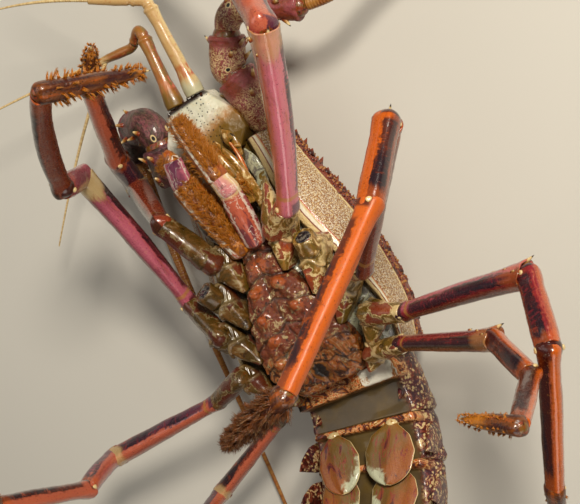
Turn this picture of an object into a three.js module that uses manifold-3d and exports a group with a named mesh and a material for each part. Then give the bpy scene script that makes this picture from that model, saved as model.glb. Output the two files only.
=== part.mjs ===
// A spiny lobster at life size, lying on its back with its legs raised.
// Millimetres. The head points along +Y, the underside faces +Z, the animal's left is +X.
// The origin is the flat on the middle of its back, on the floor.

import * as THREE from "three";
import Module from "manifold-3d";

const wasm = await Module();
wasm.setup();

// Driving dimensions
const GAP = 0.3; // between neighbouring shell pieces
const SLIVER = 0.03; // detail this small is dropped after a join or a cut
const FLOOR = 0;
const CARAPACE_REAR = -66;
const CARAPACE_FRONT = 64;
const CHANNEL_DEPTH = 5; // from the carapace margin down to the bed of the leg bases
const RIM = 1.8; // thickness of the carapace margin
const COXA_BED = 45.4; // height of the underside of the leg bases
const COXA_RIM = 51; // height of their outer edge, over the carapace margin
const BRISTLE_RADIUS = 1;
const SPINE_ROOT = 1.2; // how deep a spine's root is sunk
const TAIL_HALF_WIDTH = 29.5;
const TAIL_DEPTH = 20; // from the middle of the tail down to its back
const TAIL_BELLY = 13; // from the middle of the tail up to the soft belly
const TAIL_HEIGHT = 25; // of the middle of the tail over the floor, at its root
const BELLY_BARS = { first: { width: 9, height: 9 }, other: { width: 3.5, height: 2.8 } };
const TAIL_FIRST_CURL = 8; // degrees, at the root
const TAIL_CURL = 0.4; // degrees for each millimetre along the tail
const TAIL_SWING = 22; // degrees, towards the animal's right
const SEGMENTS = [25, 20, 22, 23, 23, 25]; // lengths of the six tail rings

// The carapace from the rear to the front: half width, half width of the open underside,
// height of its margin and height of the back.
const CARAPACE = [
  { y: CARAPACE_REAR, half: 36, open: 33, margin: 44, back: 3 },
  { y: -45, half: 42, open: 39, margin: 48, back: -0.4 },
  { y: -20, half: 42.5, open: 34, margin: 50, back: -0.6 },
  { y: 5, half: 38.5, open: 24.5, margin: 50, back: -0.6 },
  { y: 22, half: 34.5, open: 20.5, margin: 49, back: 1.5 },
  { y: 42, half: 30.5, open: 19.5, margin: 47, back: 7 },
  { y: CARAPACE_FRONT, half: 26, open: 17, margin: 44, back: 15 },
];
const WIDEST_HEIGHT = 29;

// Each left leg's base: where its coxa starts behind and ends in front, with the height of
// its top there, its width, and the point where the leg leaves it.
const COXAE = {
  1: { rear: [11, -9, 64], front: [17.5, 10, 66], width: 14, root: [18, 9, 63] },
  2: { rear: [18, -24, 64], front: [26, -5, 66], width: 14.5, root: [26, -6, 62] },
  3: { rear: [21.5, -40, 63], front: [33, -22, 66], width: 14.5, root: [33, -21, 62] },
  4: { rear: [27, -54, 60], front: [35, -43, 64], width: 13.5, root: [35, -42, 61] },
  5: { rear: [19, -65, 56], front: [26, -58, 60], width: 11.5, root: [26, -58, 57] },
};

// Each leg: its thickness, the length, azimuth and elevation of its pieces from the ischium
// to the dactyl, and the number of bristles on the dactyl.
const LEGS = [
  {
    pair: 1, side: "left", thick: 6,
    pieces: [[17, 21, 35], [78, 57, 21], [30, 107, -37], [52, 120, -20], [30, 135, -35]],
    brush: 8,
  },
  {
    pair: 1, side: "right", thick: 5.8,
    pieces: [[28, 110, 15], [68, 139, -50], [28, 50, 53], [52, 41, 45], [32, 20, 41]],
    brush: 12,
  },
  {
    pair: 3, side: "left", thick: 5.1,
    pieces: [[26, -7, 46], [76, 40, 31], [32, -120, 36], [70, -135, 37], [42, -168, -20]],
    brush: 22,
  },
  {
    pair: 3, side: "right", thick: 5.1,
    pieces: [[24, 119, -19], [76, 89, 23], [30, -30, 71], [70, 26, 45], [43, -16, -55]],
    brush: 22,
  },
  {
    pair: 4, side: "left", thick: 4.9,
    pieces: [[20, -17, 23], [66, -5, 25], [30, -93, 38], [60, -119, -16], [32, -120, -35]],
    brush: 8,
  },
  {
    pair: 4, side: "right", thick: 4.9,
    pieces: [[20, -165, -11], [70, -178, -3], [30, -82, 81], [62, 80, 73], [32, 40, 30]],
    brush: 8,
  },
  {
    pair: 5, side: "left", thick: 4.2,
    pieces: [[24, 0, 35], [56, -12, 34], [26, -49, 48], [48, -33, 84], [30, 166, -37]],
    brush: 8,
  },
  {
    pair: 5, side: "right", thick: 4.2,
    pieces: [[18, -135, -36], [58, -158, -7], [26, -72, 83], [48, -40, 55], [28, 0, 20]],
    brush: 8,
  },
];

// Finishes
const TAN_SHELL = { color: 0xa07850, roughness: 0.6, metalness: 0 };
const DARK_SHELL = { color: 0x8a3b2a, roughness: 0.5, metalness: 0 };
const CREAM_SHELL = { color: 0xd8c9a4, roughness: 0.5, metalness: 0 };
const ORANGE_SHELL = { color: 0xd9692e, roughness: 0.4, metalness: 0 };
const PINK_SHELL = { color: 0xb24f4a, roughness: 0.35, metalness: 0 };
const BRISTLED_SHELL = { color: 0xb4642a, roughness: 0.8, metalness: 0 };
const EYE_GLOSS = { color: 0x14110f, roughness: 0.15, metalness: 0 };

// Vectors and numbers
const point = (x, y, z) => new THREE.Vector3(x, y, z);
const radians = THREE.MathUtils.degToRad;
const mirrored = (side) => (side === "left" ? 1 : -1);
const corner = (s, [x, y, z]) => point(s * x, y, z);

function heading(azimuth, elevation) {
  const level = Math.cos(radians(elevation));
  return point(
    Math.cos(radians(azimuth)) * level,
    Math.sin(radians(azimuth)) * level,
    Math.sin(radians(elevation)),
  );
}

// A smooth curve through the rows' values, read at a place between them.
function between(rows, at, key, value) {
  const last = rows.length - 1;
  let i = 0;
  while (i < last - 1 && rows[i + 1][key] < at) i += 1;
  const a = rows[i];
  const b = rows[i + 1];
  const before = rows[Math.max(0, i - 1)];
  const after = rows[Math.min(last, i + 2)];
  const span = b[key] - a[key];
  const t = THREE.MathUtils.clamp((at - a[key]) / span, 0, 1);
  const slopeA = ((b[value] - before[value]) / (b[key] - before[key])) * span;
  const slopeB = ((after[value] - a[value]) / (after[key] - a[key])) * span;
  const square = t * t;
  const cube = square * t;
  return (
    a[value] * (2 * cube - 3 * square + 1) +
    slopeA * (cube - 2 * square + t) +
    b[value] * (3 * square - 2 * cube) +
    slopeB * (cube - square)
  );
}

// A small repeatable draw of numbers from 0 to 1.
function draws(seed) {
  let state = seed;
  return () => {
    state = (state * 16807) % 2147483647;
    return state / 2147483647;
  };
}

// Solids
function solid(vertices, triangles) {
  const build = (order) =>
    new wasm.Manifold(
      new wasm.Mesh({
        numProp: 3,
        vertProperties: new Float32Array(vertices.flatMap((v) => [v.x, v.y, v.z])),
        triVerts: new Uint32Array(order),
      }),
    );
  const made = build(triangles);
  if (made.volume() > 0) return made;
  const turned = [];
  for (let i = 0; i < triangles.length; i += 3)
    turned.push(triangles[i], triangles[i + 2], triangles[i + 1]);
  return build(turned);
}

// A closed skin through rings of points, with a fan at each end.
function loft(rings) {
  const count = rings[0].length;
  const vertices = rings.flat();
  const triangles = [];
  for (let r = 0; r + 1 < rings.length; r += 1)
    for (let i = 0; i < count; i += 1) {
      const next = (i + 1) % count;
      const a = r * count + i;
      const b = r * count + next;
      triangles.push(a, b, a + count, b, b + count, a + count);
    }
  for (const end of [0, rings.length - 1]) {
    const middle = point(0, 0, 0);
    for (const v of rings[end]) middle.addScaledVector(v, 1 / count);
    const hub = vertices.push(middle) - 1;
    for (let i = 0; i < count; i += 1) {
      const a = end * count + i;
      const b = end * count + ((i + 1) % count);
      if (end === 0) triangles.push(hub, b, a);
      else triangles.push(hub, a, b);
    }
  }
  return solid(vertices, triangles);
}

function fromGeometry(geometry) {
  const place = geometry.getAttribute("position");
  const found = new Map();
  const vertices = [];
  const number = (i) => {
    const v = point(place.getX(i), place.getY(i), place.getZ(i));
    const name = v.toArray().map((c) => c.toFixed(4)).join();
    if (!found.has(name)) found.set(name, vertices.push(v) - 1);
    return found.get(name);
  };
  const order = geometry.index ? [...geometry.index.array] : [...Array(place.count).keys()];
  const triangles = [];
  for (let i = 0; i < order.length; i += 3) {
    const [a, b, c] = [number(order[i]), number(order[i + 1]), number(order[i + 2])];
    if (a !== b && b !== c && a !== c) triangles.push(a, b, c);
  }
  return solid(vertices, triangles);
}

function fuse(pieces) {
  return largest(wasm.Manifold.union(pieces));
}

// The largest closed body, without the slivers that joining and cutting leave.
function largest(whole) {
  const bodies = whole.simplify(SLIVER).decompose();
  return bodies.reduce((a, b) => (b.volume() > a.volume() ? b : a));
}

function cut(whole, ...tools) {
  return largest(tools.reduce((left, tool) => left.subtract(tool), whole));
}

function block(centre, size) {
  return fromGeometry(new THREE.BoxGeometry(...size).translate(...centre));
}

function aboveFloor(whole) {
  return cut(whole, block([0, 0, FLOOR - 50], [900, 900, 100]));
}

// Rings of points round a path. Each row gives a distance along the path, a half width
// and a half depth.
function sweep(curve, rows, sides, firstSide) {
  const length = curve.getLength();
  const side = firstSide.clone();
  const rings = [];
  for (const [along, width, depth] of rows) {
    const u = THREE.MathUtils.clamp(along / length, 0, 1);
    const centre = curve.getPointAt(u);
    const forward = curve.getTangentAt(u).normalize();
    side.addScaledVector(forward, -side.dot(forward)).normalize();
    const over = point(0, 0, 0).crossVectors(forward, side);
    const ring = [];
    for (let i = 0; i < sides; i += 1) {
      const angle = (2 * Math.PI * (i + 0.5)) / sides;
      ring.push(
        centre
          .clone()
          .addScaledVector(side, Math.cos(angle) * width)
          .addScaledVector(over, Math.sin(angle) * depth),
      );
    }
    rings.push(ring);
  }
  return loft(rings);
}

// A path through corners, each rounded so that a limb of this radius can follow it.
function bentPath(corners, radius) {
  const path = new THREE.CurvePath();
  let from = corners[0];
  const bends = [];
  for (let i = 1; i + 1 < corners.length; i += 1) {
    const into = corners[i].clone().sub(corners[i - 1]);
    const out = corners[i + 1].clone().sub(corners[i]);
    const half = into.angleTo(out) / 2;
    const wanted = (1.15 * radius * Math.sin(half)) / Math.cos(half) ** 2;
    const room = 0.45 * Math.min(into.length(), out.length());
    const reach = THREE.MathUtils.clamp(wanted, 3, room);
    const start = corners[i].clone().addScaledVector(into.normalize(), -reach);
    const end = corners[i].clone().addScaledVector(out.normalize(), reach);
    path.add(new THREE.LineCurve3(from, start));
    const before = path.getLength();
    path.add(new THREE.QuadraticBezierCurve3(start, corners[i], end));
    bends.push({ start: before, end: path.getLength() });
    from = end;
  }
  path.add(new THREE.LineCurve3(from, corners[corners.length - 1]));
  path.updateArcLengths();
  return { path, bends };
}

// More rows where rows stand far apart or the path bends.
function filled(rows, longest) {
  const out = [rows[0]];
  for (let i = 1; i < rows.length; i += 1) {
    const [a, b] = [rows[i - 1], rows[i]];
    const steps = Math.max(1, Math.ceil((b[0] - a[0]) / longest));
    for (let k = 1; k <= steps; k += 1) {
      const t = k / steps;
      out.push(a.map((value, j) => value + (b[j] - value) * t));
    }
  }
  return out;
}

// A four-sided spine whose root is sunk in what it grows from.
function spine(root, direction, length, radius) {
  const forward = direction.clone().normalize();
  const lean = Math.abs(forward.z) > 0.8 ? point(0, 1, 0) : point(0, 0, 1);
  const side = point(0, 0, 0).crossVectors(lean, forward).normalize();
  const over = point(0, 0, 0).crossVectors(forward, side);
  const base = root.clone().addScaledVector(forward, -SPINE_ROOT);
  const ring = [0, 1, 2, 3].map((i) =>
    base
      .clone()
      .addScaledVector(side, Math.cos((i * Math.PI) / 2) * radius)
      .addScaledVector(over, Math.sin((i * Math.PI) / 2) * radius),
  );
  const tip = root.clone().addScaledVector(forward, length);
  return solid([...ring, tip], [0, 1, 4, 1, 2, 4, 2, 3, 4, 3, 0, 4, 0, 2, 1, 0, 3, 2]);
}

// How far a joint reaches along each of its two pieces, so that they fold clear of each other.
function jointReach(corners, joint, radius) {
  const into = corners[joint].clone().sub(corners[joint - 1]);
  const out = corners[joint + 1].clone().sub(corners[joint]);
  return Math.max(0.5 * radius, radius * Math.tan(into.angleTo(out) / 2) + GAP);
}

// One skin along several limb pieces. Each station names the corner it follows, the distance
// past that corner along the limb and its radius. At a corner the ring lies in the plane
// that halves the bend.
function jointed(corners, stations, sides = 8, flatness = 0.93) {
  const side = point(0, 0, 1);
  const rings = stations.map(([corner, past, radius]) => {
    const ahead = corners[corner + 1].clone().sub(corners[corner]).normalize();
    const forward = ahead.clone();
    if (past === 0 && corner > 0)
      forward.add(corners[corner].clone().sub(corners[corner - 1]).normalize()).normalize();
    side.addScaledVector(forward, -side.dot(forward)).normalize();
    const over = point(0, 0, 0).crossVectors(forward, side);
    const centre = corners[corner].clone().addScaledVector(ahead, past);
    return Array.from({ length: sides }, (_, i) => {
      const angle = (2 * Math.PI * (i + 0.5)) / sides;
      return centre
        .clone()
        .addScaledVector(side, Math.cos(angle) * radius)
        .addScaledVector(over, Math.sin(angle) * radius * flatness);
    });
  });
  return loft(rings);
}

// Tapered bristles on a limb between two points, leaning towards its tip. They fill the
// given arc round it, which is centred on the given direction.
function bristles({ from, to, radius, towards, arc, count, length, seed }) {
  const draw = draws(seed);
  const forward = to.clone().sub(from).normalize();
  const out = towards.clone().addScaledVector(forward, -towards.dot(forward)).normalize();
  const over = point(0, 0, 0).crossVectors(forward, out);
  return Array.from({ length: count }, (_, i) => {
    const share = (i + 0.2 + 0.6 * draw()) / count;
    const turn = radians(arc * (((i * 0.618) % 1) - 0.5));
    const away = out
      .clone()
      .multiplyScalar(Math.cos(turn))
      .addScaledVector(over, Math.sin(turn));
    const reach = radius * (1 - 0.35 * share);
    const root = from.clone().lerp(to, share).addScaledVector(away, 0.75 * reach);
    const lean = away.clone().addScaledVector(forward, 0.8);
    const long = length * (0.8 + 0.4 * draw()) * (1 - 0.25 * share);
    return spine(root, lean, long, BRISTLE_RADIUS);
  });
}

// Carapace
const SOCKET = { side: 13, rear: 50, floor: 24 }; // room for the antennae beside the mouth
const HORN = [[12, 54, 17], [17, 68, 8], [16, 86, 9]];
const BACK_SPINE_ROWS = [{ angle: 8, size: 0.45 }, { angle: 38, size: 1 }];
const BACK_SPINE_PITCH = 11;

function carapaceSection(y, grow = 0) {
  const half = between(CARAPACE, y, "y", "half") + grow;
  const open = between(CARAPACE, y, "y", "open") + grow;
  const margin = between(CARAPACE, y, "y", "margin") + grow;
  const back = between(CARAPACE, y, "y", "back") - grow;
  const bed = margin - CHANNEL_DEPTH;
  const flank = [];
  for (let i = 0; i <= 3; i += 1) {
    const angle = radians(90 - 30 * i);
    flank.push([
      open + (half - open) * Math.cos(angle),
      WIDEST_HEIGHT + (margin - WIDEST_HEIGHT) * Math.sin(angle),
    ]);
  }
  for (let i = 1; i <= 5; i += 1) {
    const angle = radians(18 * i);
    flank.push([
      half * Math.cos(angle) ** 0.85,
      WIDEST_HEIGHT - (WIDEST_HEIGHT - back) * Math.sin(angle) ** 0.85,
    ]);
  }
  const edge = open - RIM - 2 * grow;
  const inner = [[edge, margin - 0.4], [edge - 2.5, bed]];
  return { flank, inner };
}

function carapaceShell(grow = 0) {
  const rings = [];
  const front = CARAPACE_FRONT + grow;
  const rear = CARAPACE_REAR - grow;
  const steps = 13;
  for (let k = 0; k <= steps; k += 1) {
    const y = rear + ((front - rear) * k) / steps;
    const { flank, inner } = carapaceSection(y, grow);
    const left = [...flank.slice(0, -1)];
    const middle = flank[flank.length - 1];
    const ring = [
      ...left,
      [0, middle[1]],
      ...left.map(([x, z]) => [-x, z]).reverse(),
      ...inner.map(([x, z]) => [-x, z]),
      ...inner.slice().reverse(),
    ];
    rings.push(ring.map(([x, z]) => point(x, y, z)));
  }
  const size = 50;
  const { side, rear: back, floor } = SOCKET;
  const sockets = [1, -1].map((s) =>
    block(
      [s * (side + grow + size / 2), back + grow + size / 2, floor + grow + size / 2],
      [size, size, size],
    ),
  );
  return cut(loft(rings), ...sockets);
}

function horns() {
  return [1, -1].map((s) => {
    const curve = new THREE.QuadraticBezierCurve3(...HORN.map((c) => corner(s, c)));
    const tip = [curve.getLength(), 0.2, 0.2];
    return sweep(curve, [[0, 6, 5], [9, 5.2, 4.4], [18, 3.8, 3.4], [27, 2, 1.8], tip], 8, point(1, 0, 0));
  });
}

// Spines in two rows down each side of the back, longer towards the head.
function backSpines() {
  const spines = [];
  for (const s of [1, -1])
    BACK_SPINE_ROWS.forEach(({ angle, size }, row) => {
      const turn = radians(angle);
      const out = point(s * Math.cos(turn), 0.75, -Math.sin(turn));
      for (let y = CARAPACE_REAR + 10 + row * 5; y < CARAPACE_FRONT - 4; y += BACK_SPINE_PITCH) {
        const half = between(CARAPACE, y, "y", "half");
        const back = between(CARAPACE, y, "y", "back");
        const z = WIDEST_HEIGHT - (WIDEST_HEIGHT - back) * Math.sin(turn) ** 0.85;
        const root = point(s * half * Math.cos(turn) ** 0.85, y, z);
        const forward = (y - CARAPACE_REAR) / (CARAPACE_FRONT - CARAPACE_REAR);
        spines.push(spine(root, out, size * (2.5 + 4 * forward), 1.5 + 0.8 * forward));
      }
    });
  return spines;
}

function carapace() {
  return aboveFloor(fuse([carapaceShell(), ...horns(), ...backSpines()]));
}

// Leg bases
function coxa(pair, side, grow = 0) {
  const { rear, front, width } = COXAE[pair];
  const s = mirrored(side);
  const from = point(s * rear[0], rear[1], 0);
  const to = point(s * front[0], front[1], 0);
  const forward = to.clone().sub(from).normalize();
  const outward = point(forward.y, -forward.x, 0).multiplyScalar(s);
  const length = from.distanceTo(to) + 4;
  const bed = COXA_BED - grow;
  const rim = COXA_RIM - grow;
  const shapes = [
    [-grow, 0.22],
    [0.3 * length, 0.62],
    [0.7 * length, 0.94],
    [length - 3, 1],
    [length + grow, 0.8],
  ];
  const rings = shapes.map(([along, share]) => {
    const half = (share * width) / 2 + grow;
    const t = along / length;
    const top = rear[2] + (front[2] - rear[2]) * t + grow;
    const low = Math.min(rim, bed + 3);
    return [
      [-half, bed],
      [-half, top - 4],
      [-0.6 * half, top - 0.8],
      [0.5 * half, top],
      [half, top - 3],
      [half, rim],
      [0.2 * half, low],
    ].map(([across, z]) =>
      from.clone().addScaledVector(forward, along).addScaledVector(outward, across).setZ(z),
    );
  });
  return loft(rings);
}

// Sternum
const STERNUM = [
  { y: -63, half: 16, top: 56 },
  { y: -50, half: 23, top: 62 },
  { y: -36, half: 21, top: 65 },
  { y: -22, half: 17, top: 65 },
  { y: -9, half: 10.5, top: 64 },
  { y: -1, half: 8.5, top: 61 },
  { y: 12, half: 8, top: 57 },
];
const BOSSES = [[0.5, -12], [0.5, -24], [0.45, -34], [0.55, -44], [0.4, -54]]; // across and along

function sternumShell(grow = 0) {
  const rings = [];
  const steps = 12;
  const rear = STERNUM[0].y - grow;
  const front = STERNUM[STERNUM.length - 1].y + grow;
  for (let k = 0; k <= steps; k += 1) {
    const y = rear + ((front - rear) * k) / steps;
    const half = between(STERNUM, y, "y", "half") + grow;
    const top = between(STERNUM, y, "y", "top") + grow;
    const bed = between(CARAPACE, y, "y", "margin") - CHANNEL_DEPTH + GAP - grow;
    const section = [
      [-1, bed],
      [-1, top - 3],
      [-0.6, top],
      [0, top - 1.5],
      [0.6, top],
      [1, top - 3],
      [1, bed],
    ];
    rings.push(section.map(([share, z]) => point(share * half, y, z)));
  }
  return loft(rings);
}

function sternum() {
  const knobs = [];
  for (const [across, y] of BOSSES)
    for (const s of [1, -1]) {
      const half = between(STERNUM, y, "y", "half");
      const top = between(STERNUM, y, "y", "top");
      knobs.push(spine(point(s * across * half, y, top - 1.2), point(0, 0.3, 1), 3, 4));
    }
  const bases = [];
  for (const side of ["left", "right"])
    for (const pair of [1, 2, 3, 4, 5]) bases.push(coxa(pair, side, 1.4 * GAP));
  return cut(fuse([sternumShell(), ...knobs]), ...bases, carapaceShell(GAP));
}

// Head
const PEDUNCLES = {
  left: [[28, 50.5, 36.5], [24, 81, 41], [38, 104, 44], [69, 85, 46]],
  right: [[-28, 50.5, 36.5], [-24, 81, 41], [-44, 86, 25], [-56, 77, 11]],
};
const PEDUNCLE_RADII = [9.6, 8.2, 6];
const PEDUNCLE_SPINES = [[0.45, 0], [0.8, 25], [0.8, -25], [0.85, 180], [0.8, 75]]; // along and round

function peduncle(side, piece, grow = 0) {
  const corners = PEDUNCLES[side].map((c) => point(...c));
  const { path, bends } = bentPath(corners, PEDUNCLE_RADII[piece === 0 ? 0 : 1]);
  const length = path.getLength();
  const joints = [0, bends[0].start, bends[1].start, length];
  const from = joints[piece] + (piece ? GAP / 2 : 0) - grow;
  const to = joints[piece + 1] - GAP / 2 + grow;
  const r = PEDUNCLE_RADII[piece] + grow;
  const span = to - from;
  const rows = [
    [from, 0.82 * r, 0.8 * r],
    [from + 0.18 * span, r, 0.92 * r],
    [from + 0.7 * span, r, 0.94 * r],
    [to - 1.5, 0.97 * r, 0.9 * r],
    [to, 0.84 * r, 0.8 * r],
  ];
  return sweep(path, filled(rows, 7), 10, point(1, 0, 0));
}

function peduncleSpines(side, piece) {
  const corners = PEDUNCLES[side].map((c) => point(...c));
  const a = corners[piece];
  const b = corners[piece + 1];
  const forward = b.clone().sub(a).normalize();
  const outward = point(mirrored(side), 0.2, 0);
  outward.addScaledVector(forward, -outward.dot(forward)).normalize();
  const over = point(0, 0, 0).crossVectors(forward, outward);
  const r = PEDUNCLE_RADII[piece];
  const spines = [];
  for (const [along, turn] of PEDUNCLE_SPINES) {
    const out = outward
      .clone()
      .multiplyScalar(Math.cos(radians(turn)))
      .addScaledVector(over, Math.sin(radians(turn)));
    const root = a.clone().lerp(b, along).addScaledVector(out, 0.85 * r);
    spines.push(spine(root, out.addScaledVector(forward, 1), 5, 1.7));
  }
  return spines;
}

function antennaPiece(side, piece) {
  const body = fuse([peduncle(side, piece), ...peduncleSpines(side, piece)]);
  const cleared = piece === 0 ? [carapaceShell(GAP)] : [];
  const around = [piece - 1, piece + 1]
    .filter((other) => other >= 0 && other < 3)
    .map((other) => peduncle(side, other, GAP - 0.05));
  return cut(body, ...cleared, ...around);
}

const WHIPS = {
  left: [
    [69, 85, 46], [86, 82, 46], [112, 88, 42], [152, 90, 34], [196, 78, 24],
    [232, 53, 14], [257, 16, 7], [271, -32, 4.2], [277, -85, 3], [276, -140, 2.4], [270, -190, 2],
  ],
  right: [
    [-56, 77, 11], [-58, 70, 8], [-62, 51, 6.5], [-68, 20, 5.2], [-73, -20, 4.4], [-77, -62, 4],
    [-82, -112, 3.6], [-90, -170, 3.2], [-100, -230, 2.8], [-112, -290, 2.4], [-126, -345, 2],
  ],
};
const WHIP_ROOT_RADIUS = 3;
const WHIP_TIP_RADIUS = 0.5;

function whip(side, part) {
  const curve = new THREE.CatmullRomCurve3(WHIPS[side].map((c) => point(...c)));
  curve.arcLengthDivisions = 400;
  const length = curve.getLength();
  const from = part === 0 ? GAP + 3 : length / 2 + GAP / 2;
  const to = part === 0 ? length / 2 - GAP / 2 : length;
  const steps = 14;
  const rows = [];
  for (let k = 0; k <= steps; k += 1) {
    const along = from + ((to - from) * k) / steps;
    const t = along / length;
    const r = WHIP_ROOT_RADIUS + (WHIP_TIP_RADIUS - WHIP_ROOT_RADIUS) * t ** 0.85;
    rows.push([along, r, r]);
  }
  return sweep(curve, rows, 6, point(0, 0, 1));
}

const ANTENNULES = {
  left: {
    corners: [[7, 78.6, 47.5], [10, 124, 52], [2, 129, 56], [-11, 137, 60]],
    flagella: [[[-32, 151, 64], [-58, 160, 62]], [[-26, 156, 56], [-44, 180, 52]]],
  },
  right: {
    corners: [[-5, 78.6, 47], [-2, 119, 47], [-13, 114, 40], [-33, 118, 38]],
    flagella: [[[-71, 125, 41], [-106, 128, 46]], [[-62, 98, 36], [-112, 57, 27]]],
  },
};

function antennule(side) {
  const corners = ANTENNULES[side].corners.map((c) => point(...c));
  const { path } = bentPath(corners, 2.2);
  const length = path.getLength();
  const first = corners[0].distanceTo(corners[1]);
  const rows = [
    [0, 4.6, 4],
    [5, 4.4, 4],
    [12, 3.3, 3],
    [first - 6, 3, 2.8],
    [first - 1, 3.4, 3.2],
    [first + 4, 2.4, 2.3],
    [length - 14, 2.4, 2.2],
    [length, 1.7, 1.6],
  ];
  const stalk = sweep(path, filled(rows, 14), 8, point(1, 0, 0));
  const start = corners[3].clone().lerp(corners[2], 0.2);
  const flagella = ANTENNULES[side].flagella.map((places) => {
    const curve = new THREE.QuadraticBezierCurve3(start, ...places.map((c) => point(...c)));
    const reach = curve.getLength();
    const shape = [0, 0.2, 0.45, 0.7, 1].map((t) => [t * reach, 1.3 - 0.9 * t, 1.3 - 0.9 * t]);
    return sweep(curve, shape, 6, point(0, 0, 1));
  });
  return fuse([stalk, ...flagella]);
}

const EPISTOME = [
  { y: 48.5, half: 14, top: 49 },
  { y: 55, half: 21, top: 50 },
  { y: 63, half: 20, top: 50 },
  { y: 71, half: 15, top: 49.5 },
  { y: 78, half: 11, top: 48.5 },
];
const EPISTOME_BED = 36;

function epistome() {
  const rings = [];
  for (let y = 48.5; y <= 78.01; y += 5.9) {
    const half = between(EPISTOME, y, "y", "half");
    const top = between(EPISTOME, y, "y", "top");
    const edge = [[-1, EPISTOME_BED], [-1, top - 2.5], [-0.7, top - 0.4]];
    const section = [...edge, [0, top], ...edge.map(([share, z]) => [-share, z]).reverse()];
    rings.push(section.map(([share, z]) => point(share * half, y, z)));
  }
  const teeth = [];
  for (let i = -3; i <= 3; i += 1)
    teeth.push(spine(point(i * 3, 77.4, 47), point(i * 0.12, 1, 0.5), 1.6, 1.1));
  return cut(
    fuse([loft(rings), ...teeth]),
    carapaceShell(GAP),
    peduncle("left", 0, GAP),
    peduncle("right", 0, GAP),
    antennuleFoot("left"),
    antennuleFoot("right"),
  );
}

// The room that an antennule's root takes in the front of the epistome.
function antennuleFoot(side) {
  const [x, y] = ANTENNULES[side].corners[0];
  return block([x, y + 5 - GAP, 47], [11, 10, 11]);
}

const MANDIBLE = { place: [7, 40, 50], size: [6.4, 7.5, 6.5] };
const TOOTH = { place: [3.6, 42.5, 53], size: [3, 4.5, 3] };
const PALP = [[12, 33, 53], [18, 42, 59], [11.5, 57, 52.5]];

function mandible(side) {
  const s = mirrored(side);
  const [x, y, z] = MANDIBLE.place;
  const shape = new THREE.SphereGeometry(1, 10, 7);
  shape.scale(...MANDIBLE.size).translate(s * x, y, z);
  const tooth = new THREE.SphereGeometry(1, 8, 5);
  tooth.scale(...TOOTH.size).translate(s * TOOTH.place[0], TOOTH.place[1], TOOTH.place[2]);
  const palp = new THREE.QuadraticBezierCurve3(...PALP.map((c) => corner(s, c)));
  const rows = [[0, 1.4, 1.4], [10, 1.1, 1.1], [20, 0.9, 0.9], [palp.getLength(), 0.4, 0.4]];
  const body = fuse([fromGeometry(shape), fromGeometry(tooth), sweep(palp, rows, 6, point(1, 0, 0))]);
  return cut(body, carapaceShell(GAP), block([0, y, z], [GAP, 60, 60]));
}

const EYE = [18.5, 71.5, 20.5];
const EYE_RADIUS = 5.6;
const EYE_STALK = [[8, 64.4, 22], [17, 71, 21]];

function eye(side) {
  const s = mirrored(side);
  const ball = new THREE.SphereGeometry(EYE_RADIUS, 12, 8);
  ball.translate(s * EYE[0], EYE[1], EYE[2]);
  const stalk = new THREE.LineCurve3(...EYE_STALK.map((c) => corner(s, c)));
  const rows = [[0, 3.4, 3.2], [stalk.getLength(), 4, 3.6]];
  const body = fuse([fromGeometry(ball), sweep(stalk, rows, 8, point(0, 0, 1))]);
  const horn = horns()[s > 0 ? 0 : 1];
  return cut(body, carapaceShell(GAP), horn, peduncle(side, 0, GAP));
}

// Third maxillipeds
const MAXILLIPEDS = {
  left: {
    corners: [[4, 9, 60], [9, 32, 69], [8, 40, 71], [3.5, 70, 70]],
    radii: [4.2, 4, 4.1],
    brush: { piece: 2, towards: [1, 0.2, 0.6], arc: 200, count: 16 },
  },
  right: {
    corners: [[-4.5, 9, 59], [-10, 45, 68], [-7.5, 57, 70], [-16, 55, 65]],
    radii: [5, 4, 3],
    brush: { piece: 0, towards: [1, 0, 1], arc: 170, count: 18 },
  },
};

function maxillipedCorners(side) {
  return MAXILLIPEDS[side].corners.map((c) => point(...c));
}

function maxillipedUpper(side) {
  const corners = maxillipedCorners(side);
  const r = MAXILLIPEDS[side].radii[0];
  const length = corners[0].distanceTo(corners[1]);
  const reach = jointReach(corners, 1, r);
  const stations = [
    [0, 0, 0.7 * r],
    [0, 0.18 * length, r],
    [0, 0.6 * length, 1.06 * r],
    [0, length - reach - 2, r],
    [0, length - reach, 0.85 * r],
  ];
  const limb = jointed(corners, stations, 8, 1.25);
  const hairs = side === "right" ? [maxillipedBrush(side)].flat() : [];
  const middle = block([mirrored(side) * -10, 10, 60], [20 + GAP, 30, 40]);
  return cut(fuse([limb, ...hairs]), coxa(1, side, GAP), sternumShell(GAP), middle);
}

function maxillipedLower(side) {
  const corners = maxillipedCorners(side);
  const [first, r, last] = MAXILLIPEDS[side].radii;
  const [a, b, c, d] = corners;
  const start = a.distanceTo(b) - jointReach(corners, 1, first) + GAP;
  const wrist = jointReach(corners, 2, last);
  const end = c.distanceTo(d);
  const stations = [
    [0, start, 0.78 * r],
    [1, 0, 0.95 * r],
    [1, b.distanceTo(c) - wrist, r],
    [2, 0, 0.95 * last],
    [2, wrist, last],
    [2, 0.6 * end, 0.95 * last],
    [2, 0.9 * end, 0.6 * last],
    [2, end, 0.15 * last],
  ];
  const limb = jointed([...corners, d.clone().multiplyScalar(2).sub(c)], stations, 8, 1.15);
  return fuse([limb, ...(side === "left" ? maxillipedBrush(side) : [])]);
}

function maxillipedBrush(side) {
  const corners = maxillipedCorners(side);
  const { radii, brush } = MAXILLIPEDS[side];
  const from = corners[brush.piece];
  const to = corners[brush.piece + 1];
  return bristles({
    from: from.clone().lerp(to, 0.15),
    to: from.clone().lerp(to, 0.92),
    radius: 1.1 * radii[brush.piece],
    towards: point(...brush.towards),
    arc: brush.arc,
    count: brush.count,
    length: 4,
    seed: 11,
  });
}

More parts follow.
